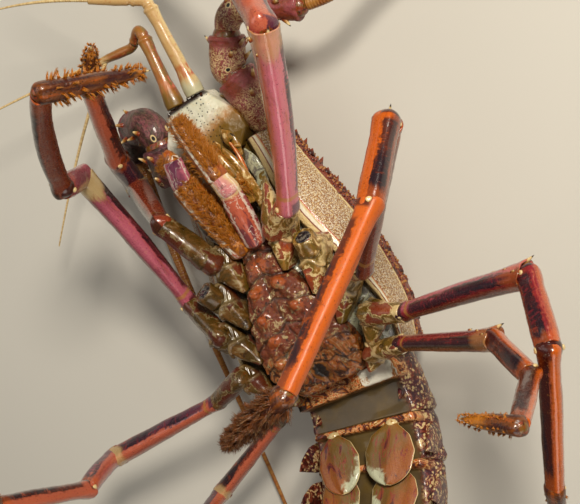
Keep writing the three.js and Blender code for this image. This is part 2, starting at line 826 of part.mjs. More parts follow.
// Legs
function legCorners(leg) {
  const { root } = COXAE[leg.pair];
  const corners = [point(mirrored(leg.side) * root[0], root[1], root[2])];
  for (const [length, azimuth, elevation] of leg.pieces) {
    const last = corners[corners.length - 1];
    corners.push(last.clone().addScaledVector(heading(azimuth, elevation), length));
  }
  return corners;
}

function legUpper(leg) {
  const corners = legCorners(leg);
  const r = leg.thick;
  const hip = jointReach(corners, 1, 0.9 * r);
  const knee = jointReach(corners, 2, r);
  const ischium = leg.pieces[0][0];
  const merus = leg.pieces[1][0];
  const limb = jointed(corners, [
    [0, 0, 0.95 * r],
    [0, 0.5 * ischium, 1.08 * r],
    [0, ischium - hip, 0.94 * r],
    [1, 0, 0.9 * r],
    [1, hip, 0.84 * r],
    [1, 0.5 * merus, 0.98 * r],
    [1, merus - knee - 0.8 * r, 1.05 * r],
    [1, merus - knee, 0.95 * r],
  ]);
  const others = [leg.pair - 1, leg.pair + 1].filter((pair) => pair > 0 && pair < 6);
  const neighbours = others.map((pair) => coxa(pair, leg.side, GAP));
  const pieces = [coxa(leg.pair, leg.side), limb];
  if (leg.pair === 1) pieces.push(ischiumTooth(leg.side));
  const whole = fuse(pieces);
  return aboveFloor(cut(whole, carapaceShell(GAP), ...neighbours));
}

// The broad tooth beside the first leg's ischium.
function ischiumTooth(side) {
  const { root } = COXAE[1];
  const s = mirrored(side);
  const from = point(s * root[0], root[1], root[2] + 1);
  const tip = point(s * (root[0] + 9.5), root[1] + 21, root[2] + 7);
  const stations = [[0, 0, 6], [0, 8, 4.6], [0, 17, 2.4], [0, 23, 0.7]];
  return jointed([from, tip], stations, 6);
}

function legLower(leg) {
  const corners = legCorners(leg);
  const r = leg.thick;
  const knee = jointReach(corners, 2, r);
  const wrist = jointReach(corners, 3, 0.9 * r);
  const ankle = jointReach(corners, 4, 0.8 * r);
  const [, [merus], [carpus], [propodus]] = leg.pieces;
  const limb = jointed(corners, [
    [1, merus - knee + GAP, 0.88 * r],
    [2, 0, 0.92 * r],
    [2, knee, 0.9 * r],
    [2, Math.max(0.75 * carpus, knee + 2), 1.04 * r],
    [2, carpus - wrist, 0.96 * r],
    [3, 0, 0.9 * r],
    [3, wrist, 0.84 * r],
    [3, 0.45 * propodus, 0.88 * r],
    [3, propodus - ankle - 0.5 * r, 0.8 * r],
    [3, propodus - ankle, 0.72 * r],
  ]);
  return aboveFloor(limb);
}

function legDactyl(leg) {
  const corners = legCorners(leg);
  const r = leg.thick;
  const ankle = jointReach(corners, 4, 0.8 * r);
  const propodus = leg.pieces[3][0];
  const dactyl = leg.pieces[4][0];
  const limb = jointed([...corners, corners[5].clone().multiplyScalar(2).sub(corners[4])], [
    [3, propodus - ankle + GAP, 0.68 * r],
    [4, 0, 0.74 * r],
    [4, ankle, 0.78 * r],
    [4, 0.6 * dactyl, 0.7 * r],
    [4, 0.88 * dactyl, 0.42 * r],
    [4, dactyl, 0.08 * r],
  ]);
  const hairs = bristles({
    from: corners[4].clone().lerp(corners[5], ankle / dactyl),
    to: corners[5],
    radius: 0.78 * r,
    towards: corners[4].clone().sub(corners[3]),
    arc: 300,
    count: leg.brush,
    length: 3.6,
    seed: 10 * leg.pair + leg.side.length,
  });
  return aboveFloor(fuse([limb, ...hairs]));
}

// The stump of a lost leg: its coxa and a short ring with a flat cut face.
function stump(side) {
  const { root } = COXAE[2];
  const start = point(mirrored(side) * root[0], root[1] - 1, root[2] - 1);
  const end = start.clone().add(point(mirrored(side) * 1.5, 7, 5));
  const ring = jointed([start, end], [[0, 0, 5.4], [0, 7, 5.2], [0, 8.7, 4.5]], 10);
  const neighbours = [1, 3].map((pair) => coxa(pair, side, GAP));
  return cut(fuse([coxa(2, side), ring]), carapaceShell(GAP), ...neighbours);
}

// Tail
function tailFrame(along) {
  const place = point(0, CARAPACE_REAR, TAIL_HEIGHT);
  const step = 2;
  const frame = (at) => {
    const curl = radians(TAIL_FIRST_CURL + TAIL_CURL * at);
    const swing = radians(-TAIL_SWING * Math.sin(radians(90) * Math.min(1, at / 90)));
    const back = point(
      Math.sin(swing) * Math.cos(curl),
      -Math.cos(swing) * Math.cos(curl),
      Math.sin(curl),
    );
    const side = point(Math.cos(swing), Math.sin(swing), 0);
    return { back, side, belly: point(0, 0, 0).crossVectors(back, side) };
  };
  for (let at = 0; at < along - 1e-6; at += step)
    place.addScaledVector(frame(at).back, Math.min(step, along - at));
  return { place, ...frame(along) };
}

function onTail(frame, across, up, behind = 0) {
  return frame.place
    .clone()
    .addScaledVector(frame.side, across)
    .addScaledVector(frame.belly, up)
    .addScaledVector(frame.back, behind);
}

const total = (values) => values.reduce((a, b) => a + b, 0);
const SEGMENT_STARTS = SEGMENTS.map((_, i) => total(SEGMENTS.slice(0, i)));
const TAIL_LENGTH = total(SEGMENTS);

function tailShare(along) {
  return 1 - 0.3 * Math.max(0, (along - 50) / (TAIL_LENGTH - 50)) ** 1.6;
}

function segmentShell(index, grow = 0) {
  const start = SEGMENT_STARTS[index] + (index ? GAP / 2 : GAP) - grow;
  const end = SEGMENT_STARTS[index] + SEGMENTS[index] - GAP / 2 + grow;
  const bar = BELLY_BARS[index ? "other" : "first"];
  const rows = [
    [start, 0.97, bar.height],
    [start + bar.width, 0.985, bar.height],
    [start + bar.width + 1.5, 0.99, 0],
    [end - 2, 1.015, 0],
    [end, 0.995, 0],
  ];
  const rings = rows.map(([along, share, ridge]) => {
    const frame = tailFrame(along);
    const size = share * tailShare(along);
    const half = TAIL_HALF_WIDTH * size + grow;
    const depth = TAIL_DEPTH * size + grow;
    const belly = (TAIL_BELLY + ridge) * size + grow;
    const ring = [];
    for (let i = 0; i <= 10; i += 1) {
      const angle = radians(-20 + (220 * i) / 10);
      ring.push(onTail(frame, half * Math.cos(angle), -depth * Math.sin(angle)));
    }
    for (const share of [-0.84, -0.4, 0.4, 0.84]) ring.push(onTail(frame, share * half, belly));
    return ring;
  });
  return loft(rings);
}

// The pointed lappet on one side of a ring.
function pleuron(index, s) {
  const middle = SEGMENT_STARTS[index] + (index < 5 ? 0.55 : 0.4) * SEGMENTS[index];
  const size = tailShare(middle) * (index ? 1 : 0.7);
  const frame = tailFrame(middle);
  const half = TAIL_HALF_WIDTH * size;
  const curve = new THREE.QuadraticBezierCurve3(
    onTail(frame, s * (half - 2), -2),
    onTail(frame, s * (half + 0.5), 12 * size, 1),
    onTail(frame, s * (half + 1), 23 * size, 7 * size),
  );
  const reach = curve.getLength();
  const rows = [
    [0, 7.5 * size, 2],
    [0.5 * reach, 6 * size, 1.6],
    [0.8 * reach, 3 * size, 1.2],
    [reach, 0.4, 0.4],
  ];
  return sweep(curve, rows, 6, frame.back);
}

// A swimmeret's leaf in rows: distance from its hinge, height, half width and half thickness.
const LEAF = [
  [-1, -1, 2.4, 1.6],
  [2, 3.2, 2.6, 1.2],
  [7, 4, 8, 0.7],
  [15, 4.4, 11, 0.7],
  [23, 4.8, 9.5, 0.7],
  [29, 5, 4.5, 0.6],
];
const LEAF_SECTION = [[-1, 0], [-0.6, 1], [0.6, 1], [1, 0], [0.6, -1], [-0.6, -1]];

// A swimmeret: a leaf on a short stalk at the front of a ring's belly.
function pleopod(index, s) {
  const frame = tailFrame(SEGMENT_STARTS[index] + 2.5);
  const size = 1 - 0.1 * (index - 1);
  const across = 0.5 * TAIL_HALF_WIDTH * tailShare(SEGMENT_STARTS[index]);
  const hinge = onTail(frame, s * across, TAIL_BELLY);
  const tilt = radians(15);
  const behind = frame.back
    .clone()
    .multiplyScalar(Math.cos(tilt))
    .addScaledVector(frame.belly, Math.sin(tilt));
  const out = frame.side.clone().multiplyScalar(s).addScaledVector(behind, 0.12).normalize();
  const over = point(0, 0, 0).crossVectors(frame.side, behind).negate().normalize();
  const rings = LEAF.map(([along, lift, half, thick]) =>
    LEAF_SECTION.map(([wide, deep]) =>
      hinge
        .clone()
        .addScaledVector(behind, along * size)
        .addScaledVector(out, wide * half * size)
        .addScaledVector(over, lift + deep * thick),
    ),
  );
  return loft(rings);
}

function tailSegment(index) {
  const extras = [1, -1].map((s) => pleuron(index, s));
  if (index >= 1 && index <= 4) extras.push(pleopod(index, 1), pleopod(index, -1));
  const around = [index - 1, index + 1]
    .filter((other) => other >= 0 && other < SEGMENTS.length)
    .map((other) => segmentShell(other, GAP));
  const whole = cut(fuse([segmentShell(index), ...extras]), ...around);
  const bases = ["left", "right"].map((side) => coxa(5, side, 2 * GAP));
  return aboveFloor(index ? whole : cut(whole, carapaceShell(GAP), ...bases));
}

// The tail fan. Each blade: turn to the side, place across and up, length and width.
const FAN = {
  telson: [0, 0, 0, 52, 30],
  uropod_inner_left: [26, 10, 2.4, 50, 24],
  uropod_inner_right: [-26, -10, 2.4, 50, 24],
  uropod_outer_left: [52, 14, 4.8, 50, 26],
  uropod_outer_right: [-52, -14, 4.8, 50, 26],
};
const BLADE = [[0, 0.5], [0.25, 0.72], [0.6, 0.96], [0.85, 0.92], [0.96, 0.7], [1, 0.34]];
const BLADE_THICKNESS = 1.6;

// A flat blade of the tail fan: a rounded leaf that starts at the last ring.
function fanBlade(name) {
  const [turn, across, lift, length, width] = FAN[name];
  const frame = tailFrame(TAIL_LENGTH);
  const cos = Math.cos(radians(turn));
  const sin = Math.sin(radians(turn));
  const behind = frame.back.clone().multiplyScalar(cos).addScaledVector(frame.side, sin);
  const out = frame.side.clone().multiplyScalar(cos).addScaledVector(frame.back, -sin);
  const root = onTail(frame, across, lift, -3);
  const edge = [...BLADE, ...BLADE.map(([t, w]) => [t, -w]).reverse()];
  const rings = [-0.5 * BLADE_THICKNESS, 0.5 * BLADE_THICKNESS].map((thick) =>
    edge.map(([t, w]) =>
      root
        .clone()
        .addScaledVector(behind, t * length)
        .addScaledVector(out, (w * width) / 2)
        .addScaledVector(frame.belly, thick),
    ),
  );
  return cut(loft(rings), segmentShell(SEGMENTS.length - 1, GAP));
}

// The object
const lobster = new THREE.Group();

function place(name, whole, finish) {
  const { numProp, vertProperties, triVerts } = whole.getMesh();
  const places = new Float32Array((vertProperties.length / numProp) * 3);
  for (let i = 0; i < places.length / 3; i += 1)
    places.set(vertProperties.subarray(i * numProp, i * numProp + 3), i * 3);
  const geometry = new THREE.BufferGeometry();
  geometry.setAttribute("position", new THREE.BufferAttribute(places, 3));
  geometry.setIndex(new THREE.BufferAttribute(new Uint32Array(triVerts), 1));
  geometry.computeVertexNormals();
  const mesh = new THREE.Mesh(geometry, new THREE.MeshStandardMaterial(finish));
  mesh.name = name;
  lobster.add(mesh);
}

place("carapace", carapace(), TAN_SHELL);
place("sternum", sternum(), ORANGE_SHELL);
place("epistome", epistome(), CREAM_SHELL);
for (const side of ["left", "right"]) {
  place(`mandible_${side}`, mandible(side), CREAM_SHELL);
  place(`eye_${side}`, eye(side), EYE_GLOSS);
  place(`antennule_${side}`, antennule(side), CREAM_SHELL);
  place(`antenna_base_${side}`, antennaPiece(side, 0), DARK_SHELL);
  place(`antenna_middle_${side}`, antennaPiece(side, 1), DARK_SHELL);
  place(`antenna_end_${side}`, antennaPiece(side, 2), DARK_SHELL);
  place(`whip_near_${side}`, whip(side, 0), ORANGE_SHELL);
  place(`whip_far_${side}`, whip(side, 1), ORANGE_SHELL);
  place(`maxilliped_upper_${side}`, maxillipedUpper(side), PINK_SHELL);
  place(`maxilliped_lower_${side}`, maxillipedLower(side), BRISTLED_SHELL);
  place(`leg_2_stump_${side}`, stump(side), CREAM_SHELL);
}
for (const leg of LEGS) {
  const name = `leg_${leg.pair}_${leg.side}`;
  place(`${name}_upper`, legUpper(leg), PINK_SHELL);
  place(`${name}_lower`, legLower(leg), ORANGE_SHELL);
  place(`${name}_dactyl`, legDactyl(leg), BRISTLED_SHELL);
}
SEGMENTS.forEach((_, index) => place(`tail_${index + 1}`, tailSegment(index), DARK_SHELL));
for (const name of Object.keys(FAN)) place(name, fanBlade(name), DARK_SHELL);

export default lobster;
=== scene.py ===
# A spiny lobster at life size, dressed for display. It lies on its back on a pale floor.
# Lengths are written in millimetres and become metres where a mesh is made.

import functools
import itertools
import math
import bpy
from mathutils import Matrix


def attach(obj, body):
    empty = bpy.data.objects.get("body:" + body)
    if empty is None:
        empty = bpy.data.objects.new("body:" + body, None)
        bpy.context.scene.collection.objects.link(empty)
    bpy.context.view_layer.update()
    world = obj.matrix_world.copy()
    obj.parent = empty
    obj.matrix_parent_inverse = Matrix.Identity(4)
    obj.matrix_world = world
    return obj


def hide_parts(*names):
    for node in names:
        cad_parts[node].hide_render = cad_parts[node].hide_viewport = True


bl_info = {
    "name": "Spiny lobster model",
    "version": (1, 0, 0),
    "blender": (4, 5, 0),
    "location": "View3D > Sidebar > Lobster",
    "description": "Shells, soft joints, bristles and spines of a life-size spiny lobster",
    "category": "Add Mesh",
}

import bpy
import numpy as np
from mathutils import Matrix, Vector

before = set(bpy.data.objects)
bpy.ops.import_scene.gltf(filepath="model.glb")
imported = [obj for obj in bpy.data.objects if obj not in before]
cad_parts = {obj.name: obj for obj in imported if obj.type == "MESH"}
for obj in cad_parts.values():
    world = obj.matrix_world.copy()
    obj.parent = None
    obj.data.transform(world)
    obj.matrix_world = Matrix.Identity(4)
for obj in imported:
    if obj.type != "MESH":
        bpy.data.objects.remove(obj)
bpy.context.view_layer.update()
MM = 0.001
# Between two pieces in a row
GAP = 0.15

# The view of the photograph
PICTURE_WIDTH = 580
FOCAL_PIXELS = 1067
SENSOR = 36
CAMERA_AZIMUTH = 88.4
CAMERA_ELEVATION = 64.5
CAMERA_ROLL = -28.8
CAMERA_DISTANCE = 457
CAMERA_TARGET = (16.1, -3.2, 60)

# Carapace, from the rear to the front: place, half width, half width of the open underside,
# height of the margin and height of the back
CARAPACE_REAR = -66
CARAPACE_FRONT = 64
CARAPACE = [
    (CARAPACE_REAR, 36, 33, 44, 3),
    (-45, 42, 39, 48, -0.4),
    (-20, 42.5, 34, 50, -0.6),
    (5, 38.5, 24.5, 50, -0.6),
    (22, 34.5, 20.5, 49, 1.5),
    (42, 30.5, 19.5, 47, 7),
    (CARAPACE_FRONT, 26, 17, 44, 15),
]
WIDEST_HEIGHT = 29
ROUNDNESS = 0.85
KNOBS = 2600
CHANNEL_DEPTH = 5
RIM = 1.8
HORN = [(12, 54, 17), (17, 68, 8), (16, 86, 9)]

# Room for the antennae in the carapace's front
SOCKET_SIDE = 13
SOCKET_REAR = 50
SOCKET_FLOOR = 24

# Breastplate: place, half width and height
STERNUM = [
    (-63, 16, 56),
    (-50, 23, 62),
    (-36, 21, 65),
    (-22, 17, 65),
    (-9, 10.5, 64),
    (-1, 8.5, 61),
    (12, 8, 57),
]

# Leg bases on the left: rear top, front top, width and the root of the leg
COXAE = {
    1: ((11, -9, 64), (17.5, 10, 66), 14, (18, 9, 63)),
    2: ((18, -24, 64), (26, -5, 66), 14.5, (26, -6, 62)),
    3: ((21.5, -40, 63), (33, -22, 66), 14.5, (33, -21, 62)),
    4: ((27, -54, 60), (35, -43, 64), 13.5, (35, -42, 61)),
    5: ((19, -65, 56), (26, -58, 60), 11.5, (26, -58, 57)),
}

# Legs: thickness, then length, azimuth and elevation of ischium, merus, carpus, propodus, dactyl
LEGS = {
    (1, "left"): (6, (17, 21, 35), (78, 57, 21), (30, 107, -37), (52, 120, -20), (30, 135, -35)),
    (1, "right"): (5.8, (28, 110, 15), (68, 139, -50), (28, 50, 53), (52, 41, 45), (32, 20, 41)),
    (3, "left"): (5.1, (26, -7, 46), (76, 40, 31), (32, -120, 36), (70, -135, 37), (42, -168, -20)),
    (3, "right"): (5.1, (24, 119, -19), (76, 89, 23), (30, -30, 71), (70, 26, 45), (43, -16, -55)),
    (4, "left"): (4.9, (20, -17, 23), (66, -5, 25), (30, -93, 38), (60, -119, -16), (32, -120, -35)),
    (4, "right"): (4.9, (20, -165, -11), (70, -178, -3), (30, -82, 81), (62, 80, 73), (32, 40, 30)),
    (5, "left"): (4.2, (24, 0, 35), (56, -12, 34), (26, -49, 48), (48, -33, 84), (30, 166, -37)),
    (5, "right"): (4.2, (18, -135, -36), (58, -158, -7), (26, -72, 83), (48, -40, 55), (28, 0, 20)),
}
ISCHIUM_SHAPE = [(0, 0.95), (0.5, 1.06), (0.85, 0.96), (1, 1.0)]
MERUS_SHAPE = [(0, 0.8), (0.12, 0.8), (0.5, 0.96), (0.85, 1.06), (1, 1.13)]
CARPUS_SHAPE = [(0, 0.88), (0.25, 0.99), (0.7, 1.06), (1, 1.03)]
PROPODUS_SHAPE = [(0, 0.88), (0.15, 0.85), (0.5, 0.88), (0.9, 0.8), (1, 0.82)]
STRAIGHT = (0, 0, 0)
# How far the merus, carpus and propodus of some legs bow to the right of their way
BOWS = {
    (1, "left"): (1.6, 0, 0),
    (3, "right"): (0.8, 0, -2.8),
    (4, "left"): (-0.8, 0, 0),
    (4, "right"): (0, 1, 0),
}
DACTYL_SHAPE = [(0, 0.72), (0.2, 0.78), (0.6, 0.68), (0.88, 0.4), (1, 0.1)]
TOOTH_SHAPE = [(0, 1), (0.35, 0.77), (0.74, 0.4), (1, 0.1)]
FURRY_LEG = (3, "left")
TUFT_LENGTHS = {(3, "left"): 1.2, (3, "right"): 1.15}

# Outer mouth legs: joints and radii
MAXILLIPEDS = {
    "left": (((4, 9, 60), (9, 32, 69), (8, 40, 71), (3.5, 70, 70)), (4.2, 4, 4.1)),
    "right": (((-4.5, 9, 59), (-10, 45, 68), (-7.5, 57, 70), (-16, 55, 65)), (5, 4, 3)),
}
# Radii along the merus, the carpus and the dactyl
MOUTH_SHAPES = (
    [(0, 0.8), (0.3, 1), (0.7, 1.06), (1, 0.96)],
    [(0, 0.85), (0.5, 1), (1, 1)],
    [(0, 0.9), (0.4, 1.05), (0.7, 0.98), (0.9, 0.85), (1, 0.6)],
)
# Brushes: the way they point, the piece they are on and its width, their arc, rows and spacing,
# a seed, and their length as a share of the brush size and in millimetres more
BRUSHES = {
    "left": [
        ("mouth_brush_left", (1, 0.2, 0.5), 2, 1.1, 130, 7, 1.4, 11, 0.9, 0),
        ("mouth_brush_left_inner", (-1, 0, -0.4), 2, 1.1, 70, 4, 1.1, 14, 1, 0),
    ],
    "right": [
        ("mouth_brush_right", (1, 0, 0.5), 0, 1.2, 160, 9, 1.7, 12, 1.1, 0),
        ("mouth_brush_right_end", (-1, 0, 0.3), 2, 1, 200, 9, 1.1, 13, 0, 3),
    ],
}

# Small inner mouth parts on the left: finish, radii along it, flatness and route
MOUTH_LEG = [(0, 2.4), (0.5, 2.2), (0.8, 1.6), (1, 0.3)]
MOUTH_LEAF = [(0, 0.8), (0.3, 2.6), (0.7, 2.9), (1, 0.4)]
MOUTH_PARTS = [
    (0, MOUTH_LEG, 0.8, [(13, 18, 54), (17, 36, 60), (10, 54, 60)]),
    (0, MOUTH_LEG, 0.8, [(10, 24, 56), (13, 40, 62), (5, 55, 61)]),
    (0, MOUTH_LEAF, 0.4, [(15, 44, 53), (15, 51, 55), (12, 58, 53)]),
    (1, MOUTH_LEAF, 0.35, [(17, 24, 51), (19, 34, 54), (17, 46, 52)]),
    (1, MOUTH_LEAF, 0.4, [(14.5, 14, 53), (18, 24, 56), (17.5, 34, 53)]),
]

# Antennae
PEDUNCLES = {
    "left": ((28, 50.5, 36.5), (24, 81, 41), (38, 104, 44), (69, 85, 46)),
    "right": ((-28, 50.5, 36.5), (-24, 81, 41), (-44, 86, 25), (-56, 77, 11)),
}
PEDUNCLE_RADII = (9.6, 8.2, 6)
PEDUNCLE_SHAPE = [(0, 0.8), (0.1, 0.93), (0.25, 1.0), (0.7, 1.0), (0.92, 0.99), (1, 0.96)]
# Place along the piece, angle round it and length of each spine
PEDUNCLE_SPINES = [
    (0.45, 0, 5), (0.8, 25, 5), (0.8, -25, 5), (0.85, 180, 4), (0.8, 75, 4), (0.3, 60, 3), (0.6, -60, 3),
]
WHIPS = {
    "left": [
        (69, 85, 46), (86, 82, 46), (112, 88, 42), (152, 90, 34), (196, 78, 24), (232, 53, 14),
        (257, 16, 7), (271, -32, 4.2), (277, -85, 3), (276, -140, 2.4), (270, -190, 2),
    ],
    "right": [
        (-56, 77, 11), (-58, 70, 8), (-62, 51, 6.5), (-68, 20, 5.2), (-73, -20, 4.4), (-77, -62, 4),
        (-82, -112, 3.6), (-90, -170, 3.2), (-100, -230, 2.8), (-112, -290, 2.4), (-126, -345, 2),
    ],
}
WHIP_RADII = (3, 0.5)
WHIP_PITCH = 1.3
# Corners of each stalk, then the handle and the end of its two whips
ANTENNULES = {
    "left": (
        ((7, 78.6, 47.5), (10, 124, 52), (2, 129, 56), (-11, 137, 60)),
        (((-32, 151, 64), (-58, 160, 62)), ((-26, 156, 56), (-44, 180, 52))),
    ),
    "right": (
        ((-5, 78.6, 47), (-2, 119, 47), (-13, 114, 40), (-33, 118, 38)),
        (((-71, 125, 41), (-106, 128, 46)), ((-62, 98, 36), (-112, 57, 27))),
    ),
}
EYE = (18.5, 71.5, 20.5)
EYE_RADIUS = 5.6
EYE_ROOT = (8, 64.4, 22)

# Tail
TAIL_HEIGHT = 25
TAIL_HALF_WIDTH = 29.5
TAIL_DEPTH = 20
TAIL_BELLY = 13
TAIL_FIRST_CURL = 8
TAIL_CURL = 0.4
TAIL_SWING = 22
RINGS = (25, 20, 22, 23, 23, 25)
# Blades of the tail fan: turn, place across, lift, length and width
FAN = {
    "telson": (0, 0, 0, 52, 30),
    "uropod_inner_left": (26, 10, 2.4, 50, 24),
    "uropod_inner_right": (-26, -10, 2.4, 50, 24),
    "uropod_outer_left": (52, 14, 4.8, 50, 26),
    "uropod_outer_right": (-52, -14, 4.8, 50, 26),
}
# Bristles along the edge of each blade
FRINGE = 900


# Numbers and curves

PRIMES = (73856093, 19349663, 83492791)
MIXER = 73244475
FULL = 0xFFFFFFFF


def unit(vectors):
    """The same directions with length one."""
    vectors = np.asarray(vectors, float)
    return vectors / np.linalg.norm(vectors, axis=-1, keepdims=True)


def heading(azimuth, elevation):
    """A direction from its azimuth and its elevation, in degrees."""
    turn, lift = math.radians(azimuth), math.radians(elevation)
    level = math.cos(lift)
    return np.array([math.cos(turn) * level, math.sin(turn) * level, math.sin(lift)])


def turned(out, beside, turn):
    """A direction, or a value, turned from one to another by an angle in radians."""
    return out * math.cos(turn) + beside * math.sin(turn)


def square_to(way, toward):
    """The direction across a way that is nearest to another one, and the direction beside both."""
    out = unit(toward - way * (toward @ way))
    return out, np.cross(way, out)


def around(sides):
    """Angles round a ring of this many points."""
    return 2 * np.pi * (np.arange(sides) + 0.5) / sides


def ease(low, high, value):
    """0 below low, 1 above high, and a smooth rise between."""
    t = np.clip((np.asarray(value, float) - low) / (high - low), 0, 1)
    return t * t * (3 - 2 * t)


def hump(centre, width, value):
    """1 at the centre and 0 beyond the width on both sides."""
    return 1 - ease(0, width, np.abs(np.asarray(value, float) - centre))


def reading(rows, column=1):
    """A smooth curve through one column of rows, read by their first column."""
    keys = np.array([row[0] for row in rows], float)
    values = np.array([row[column] for row in rows], float)
    below = np.maximum(np.arange(len(keys)) - 1, 0)
    above = np.minimum(np.arange(len(keys)) + 1, len(keys) - 1)
    slopes = (values[above] - values[below]) / (keys[above] - keys[below])

    def read(at):
        at = np.clip(np.asarray(at, float), keys[0], keys[-1])
        i = np.clip(np.searchsorted(keys, at, side="right") - 1, 0, len(keys) - 2)
        gap = keys[i + 1] - keys[i]
        t = (at - keys[i]) / gap
        start = values[i] * (2 * t**3 - 3 * t**2 + 1) + slopes[i] * gap * (t**3 - 2 * t**2 + t)
        return start + values[i + 1] * (3 * t**2 - 2 * t**3) + slopes[i + 1] * gap * (t**3 - t**2)

    return read


def linear(at, rows, column=1):
    """Straight steps through one column of rows, read by their first column."""
    return np.interp(at, [row[0] for row in rows], [row[column] for row in rows])


def lots(cells, seed):
    """One repeatable number from 0 to 1 for each whole-numbered cell."""
    n = np.asarray(cells).astype(np.int64)
    mixed = functools.reduce(np.bitwise_xor, (n[..., k] * prime for k, prime in enumerate(PRIMES)))
    mixed = (mixed ^ (seed * 40503 + 12345)) & FULL
    for shift in (15, 13):
        mixed = ((mixed ^ (mixed >> shift)) * MIXER) & FULL
    return (mixed ^ (mixed >> 16)) / FULL


def swells(points, size, seed=0):
    """Smooth noise from -1 to 1 with lumps of about this size."""
    place = np.asarray(points) / size
    base = np.floor(place)
    t = place - base
    t = t * t * (3 - 2 * t)
    total = 0
    for corner in itertools.product((0, 1), repeat=3):
        share = np.prod(np.where(corner, t, 1 - t), axis=-1)
        total = total + share * lots(base + corner, seed)
    return 2 * total - 1


def pebbles(points, size, seed=0):
    """The distance, in sizes, to the nearest of many scattered seeds."""
    place = np.asarray(points) / size
    base = np.floor(place)
    near = np.full(len(place), np.inf)
    for corner in itertools.product((-1, 0, 1), repeat=3):
        cell = base + corner
        spot = cell + np.stack([lots(cell, seed + k) for k in range(3)], -1)
        near = np.minimum(near, np.linalg.norm(place - spot, axis=-1))
    return near


def bezier(start, middle, end, count):
    """Points on a curve with one middle handle."""
    t = np.linspace(0, 1, count)[:, None]
    a, b, c = (np.asarray(p, float) for p in (start, middle, end))
    return a * (1 - t) ** 2 + b * 2 * t * (1 - t) + c * t**2


def through(corners, count):
    """Points on a smooth curve through the corners, evenly spaced along it."""
    spots = [np.asarray(c, float) for c in corners]
    spots = [2 * spots[0] - spots[1]] + spots + [2 * spots[-1] - spots[-2]]
    fine = []
    for p0, p1, p2, p3 in zip(spots, spots[1:], spots[2:], spots[3:]):
        gaps = [math.sqrt(np.linalg.norm(b - a)) for a, b in ((p0, p1), (p1, p2), (p2, p3))]
        k0, k1, k2, k3 = np.cumsum([0, *gaps])
        for t in np.linspace(k1, k2, 40, endpoint=False):
            a = p0 + (p1 - p0) * (t - k0) / (k1 - k0)
            b = p1 + (p2 - p1) * (t - k1) / (k2 - k1)
            c = p2 + (p3 - p2) * (t - k2) / (k3 - k2)
            low = a + (b - a) * (t - k0) / (k2 - k0)
            high = b + (c - b) * (t - k1) / (k3 - k1)
            fine.append(low + (high - low) * (t - k1) / (k2 - k1))
    return evenly(np.array([*fine, spots[-2]]), count)


def lengths(path):
    """How far along a path each of its points is."""
    return np.concatenate([[0], np.cumsum(np.linalg.norm(np.diff(path, axis=0), axis=1))])


def shares(path):
    """How far along a path each of its points is, from 0 to 1."""
    far = lengths(path)
    return far / far[-1]


def stretch(path, start, end, count):
    """The part of a path between two distances along it, in even steps."""
    far = lengths(path)
    at = np.linspace(start, end, count)
    return np.stack([np.interp(at, far, path[:, k]) for k in range(3)], -1)


def evenly(path, count):
    """The same path with evenly spaced points."""
    return stretch(path, 0, lengths(path)[-1], count)


def arched(start, middle, end, fine=40, count=40):
    """An evenly spaced path that bends once."""
    return evenly(bezier(start, middle, end, fine), count)


def bent(corners, radius):
    """A path through corners that are rounded for a limb of this radius, and its joints."""
    corners = [np.asarray(c, float) for c in corners]
    path = [corners[0]]
    joints = [0]
    for before, at, after in zip(corners, corners[1:], corners[2:]):
        into, out = at - before, after - at
        half = math.acos(np.clip(unit(into) @ unit(out), -1, 1)) / 2
        wanted = 1.15 * radius * math.sin(half) / math.cos(half) ** 2
        reach = np.clip(wanted, 3, 0.45 * min(np.linalg.norm(into), np.linalg.norm(out)))
        curve = bezier(at - unit(into) * reach, at, at + unit(out) * reach, 16)
        joints.append(lengths(np.array([*path, curve[0]]))[-1])
        path.extend(curve)
    path.append(corners[-1])
    joints.append(lengths(np.array(path))[-1])
    return np.array(path), joints


# Meshes


def by_corners(faces):
    """The triangles and then the four-sided faces, each as rows of point numbers."""
    for size in (3, 4):
        yield np.array([face for face in faces if len(face) == size], int).reshape(-1, size)


def normals(points, faces):
    """The way out of the skin at each point."""
    out = np.zeros_like(points)
    for chosen in by_corners(faces):
        a = points[chosen[:, 2]] - points[chosen[:, 0]]
        b = points[chosen[:, -1]] - points[chosen[:, 1]]
        way = np.cross(a, b)
        for k in range(chosen.shape[1]):
            np.add.at(out, chosen[:, k], way)
    return out / np.maximum(np.linalg.norm(out, axis=1, keepdims=True), 1e-9)


def outward(points, faces):
    """The same closed skin with its faces pointing out."""
    volume = 0
    centre = points.mean(0)
    for chosen in by_corners(faces):
        for k in range(1, chosen.shape[1] - 1):
            a, b, c = (points[chosen[:, i]] - centre for i in (0, k, k + 1))
            volume += np.einsum("ij,ij->", a, np.cross(b, c))
    if volume < 0:
        faces = [face[::-1] for face in faces]
    return points, faces


def lofted(rings):
    """A closed skin through rings of points, with a fan at each end."""
    rings = np.asarray(rings)
    count, sides = rings.shape[:2]
    index = np.arange(count * sides).reshape(count, sides)
    after = np.roll(index, -1, axis=1)
    faces = np.stack([index[:-1], after[:-1], after[1:], index[1:]], -1).reshape(-1, 4).tolist()
    hub = count * sides
    faces += [(hub, int(b), int(a)) for a, b in zip(index[0], after[0])]
    faces += [(hub + 1, int(a), int(b)) for a, b in zip(index[-1], after[-1])]
    points = np.vstack([rings.reshape(-1, 3), rings[0].mean(0), rings[-1].mean(0)])
    return outward(points, faces)


def spread(values):
    """One guide value for each point of a lofted skin, from a value for each ring point."""
    values = np.asarray(values, float)
    flat = values.reshape(-1, *values.shape[2:])
    return np.concatenate([flat, values[:1].mean(1), values[-1:].mean(1)])


def framed(path, first_side):
    """Forward, side and upper directions along a path, without twist."""
    forward = unit(np.gradient(path, axis=0))
    side = np.asarray(first_side, float)
    sides = []
    for way in forward:
        side = unit(side - way * (side @ way))
        sides.append(side)
    sides = np.array(sides)
    return forward, sides, np.cross(forward, sides)


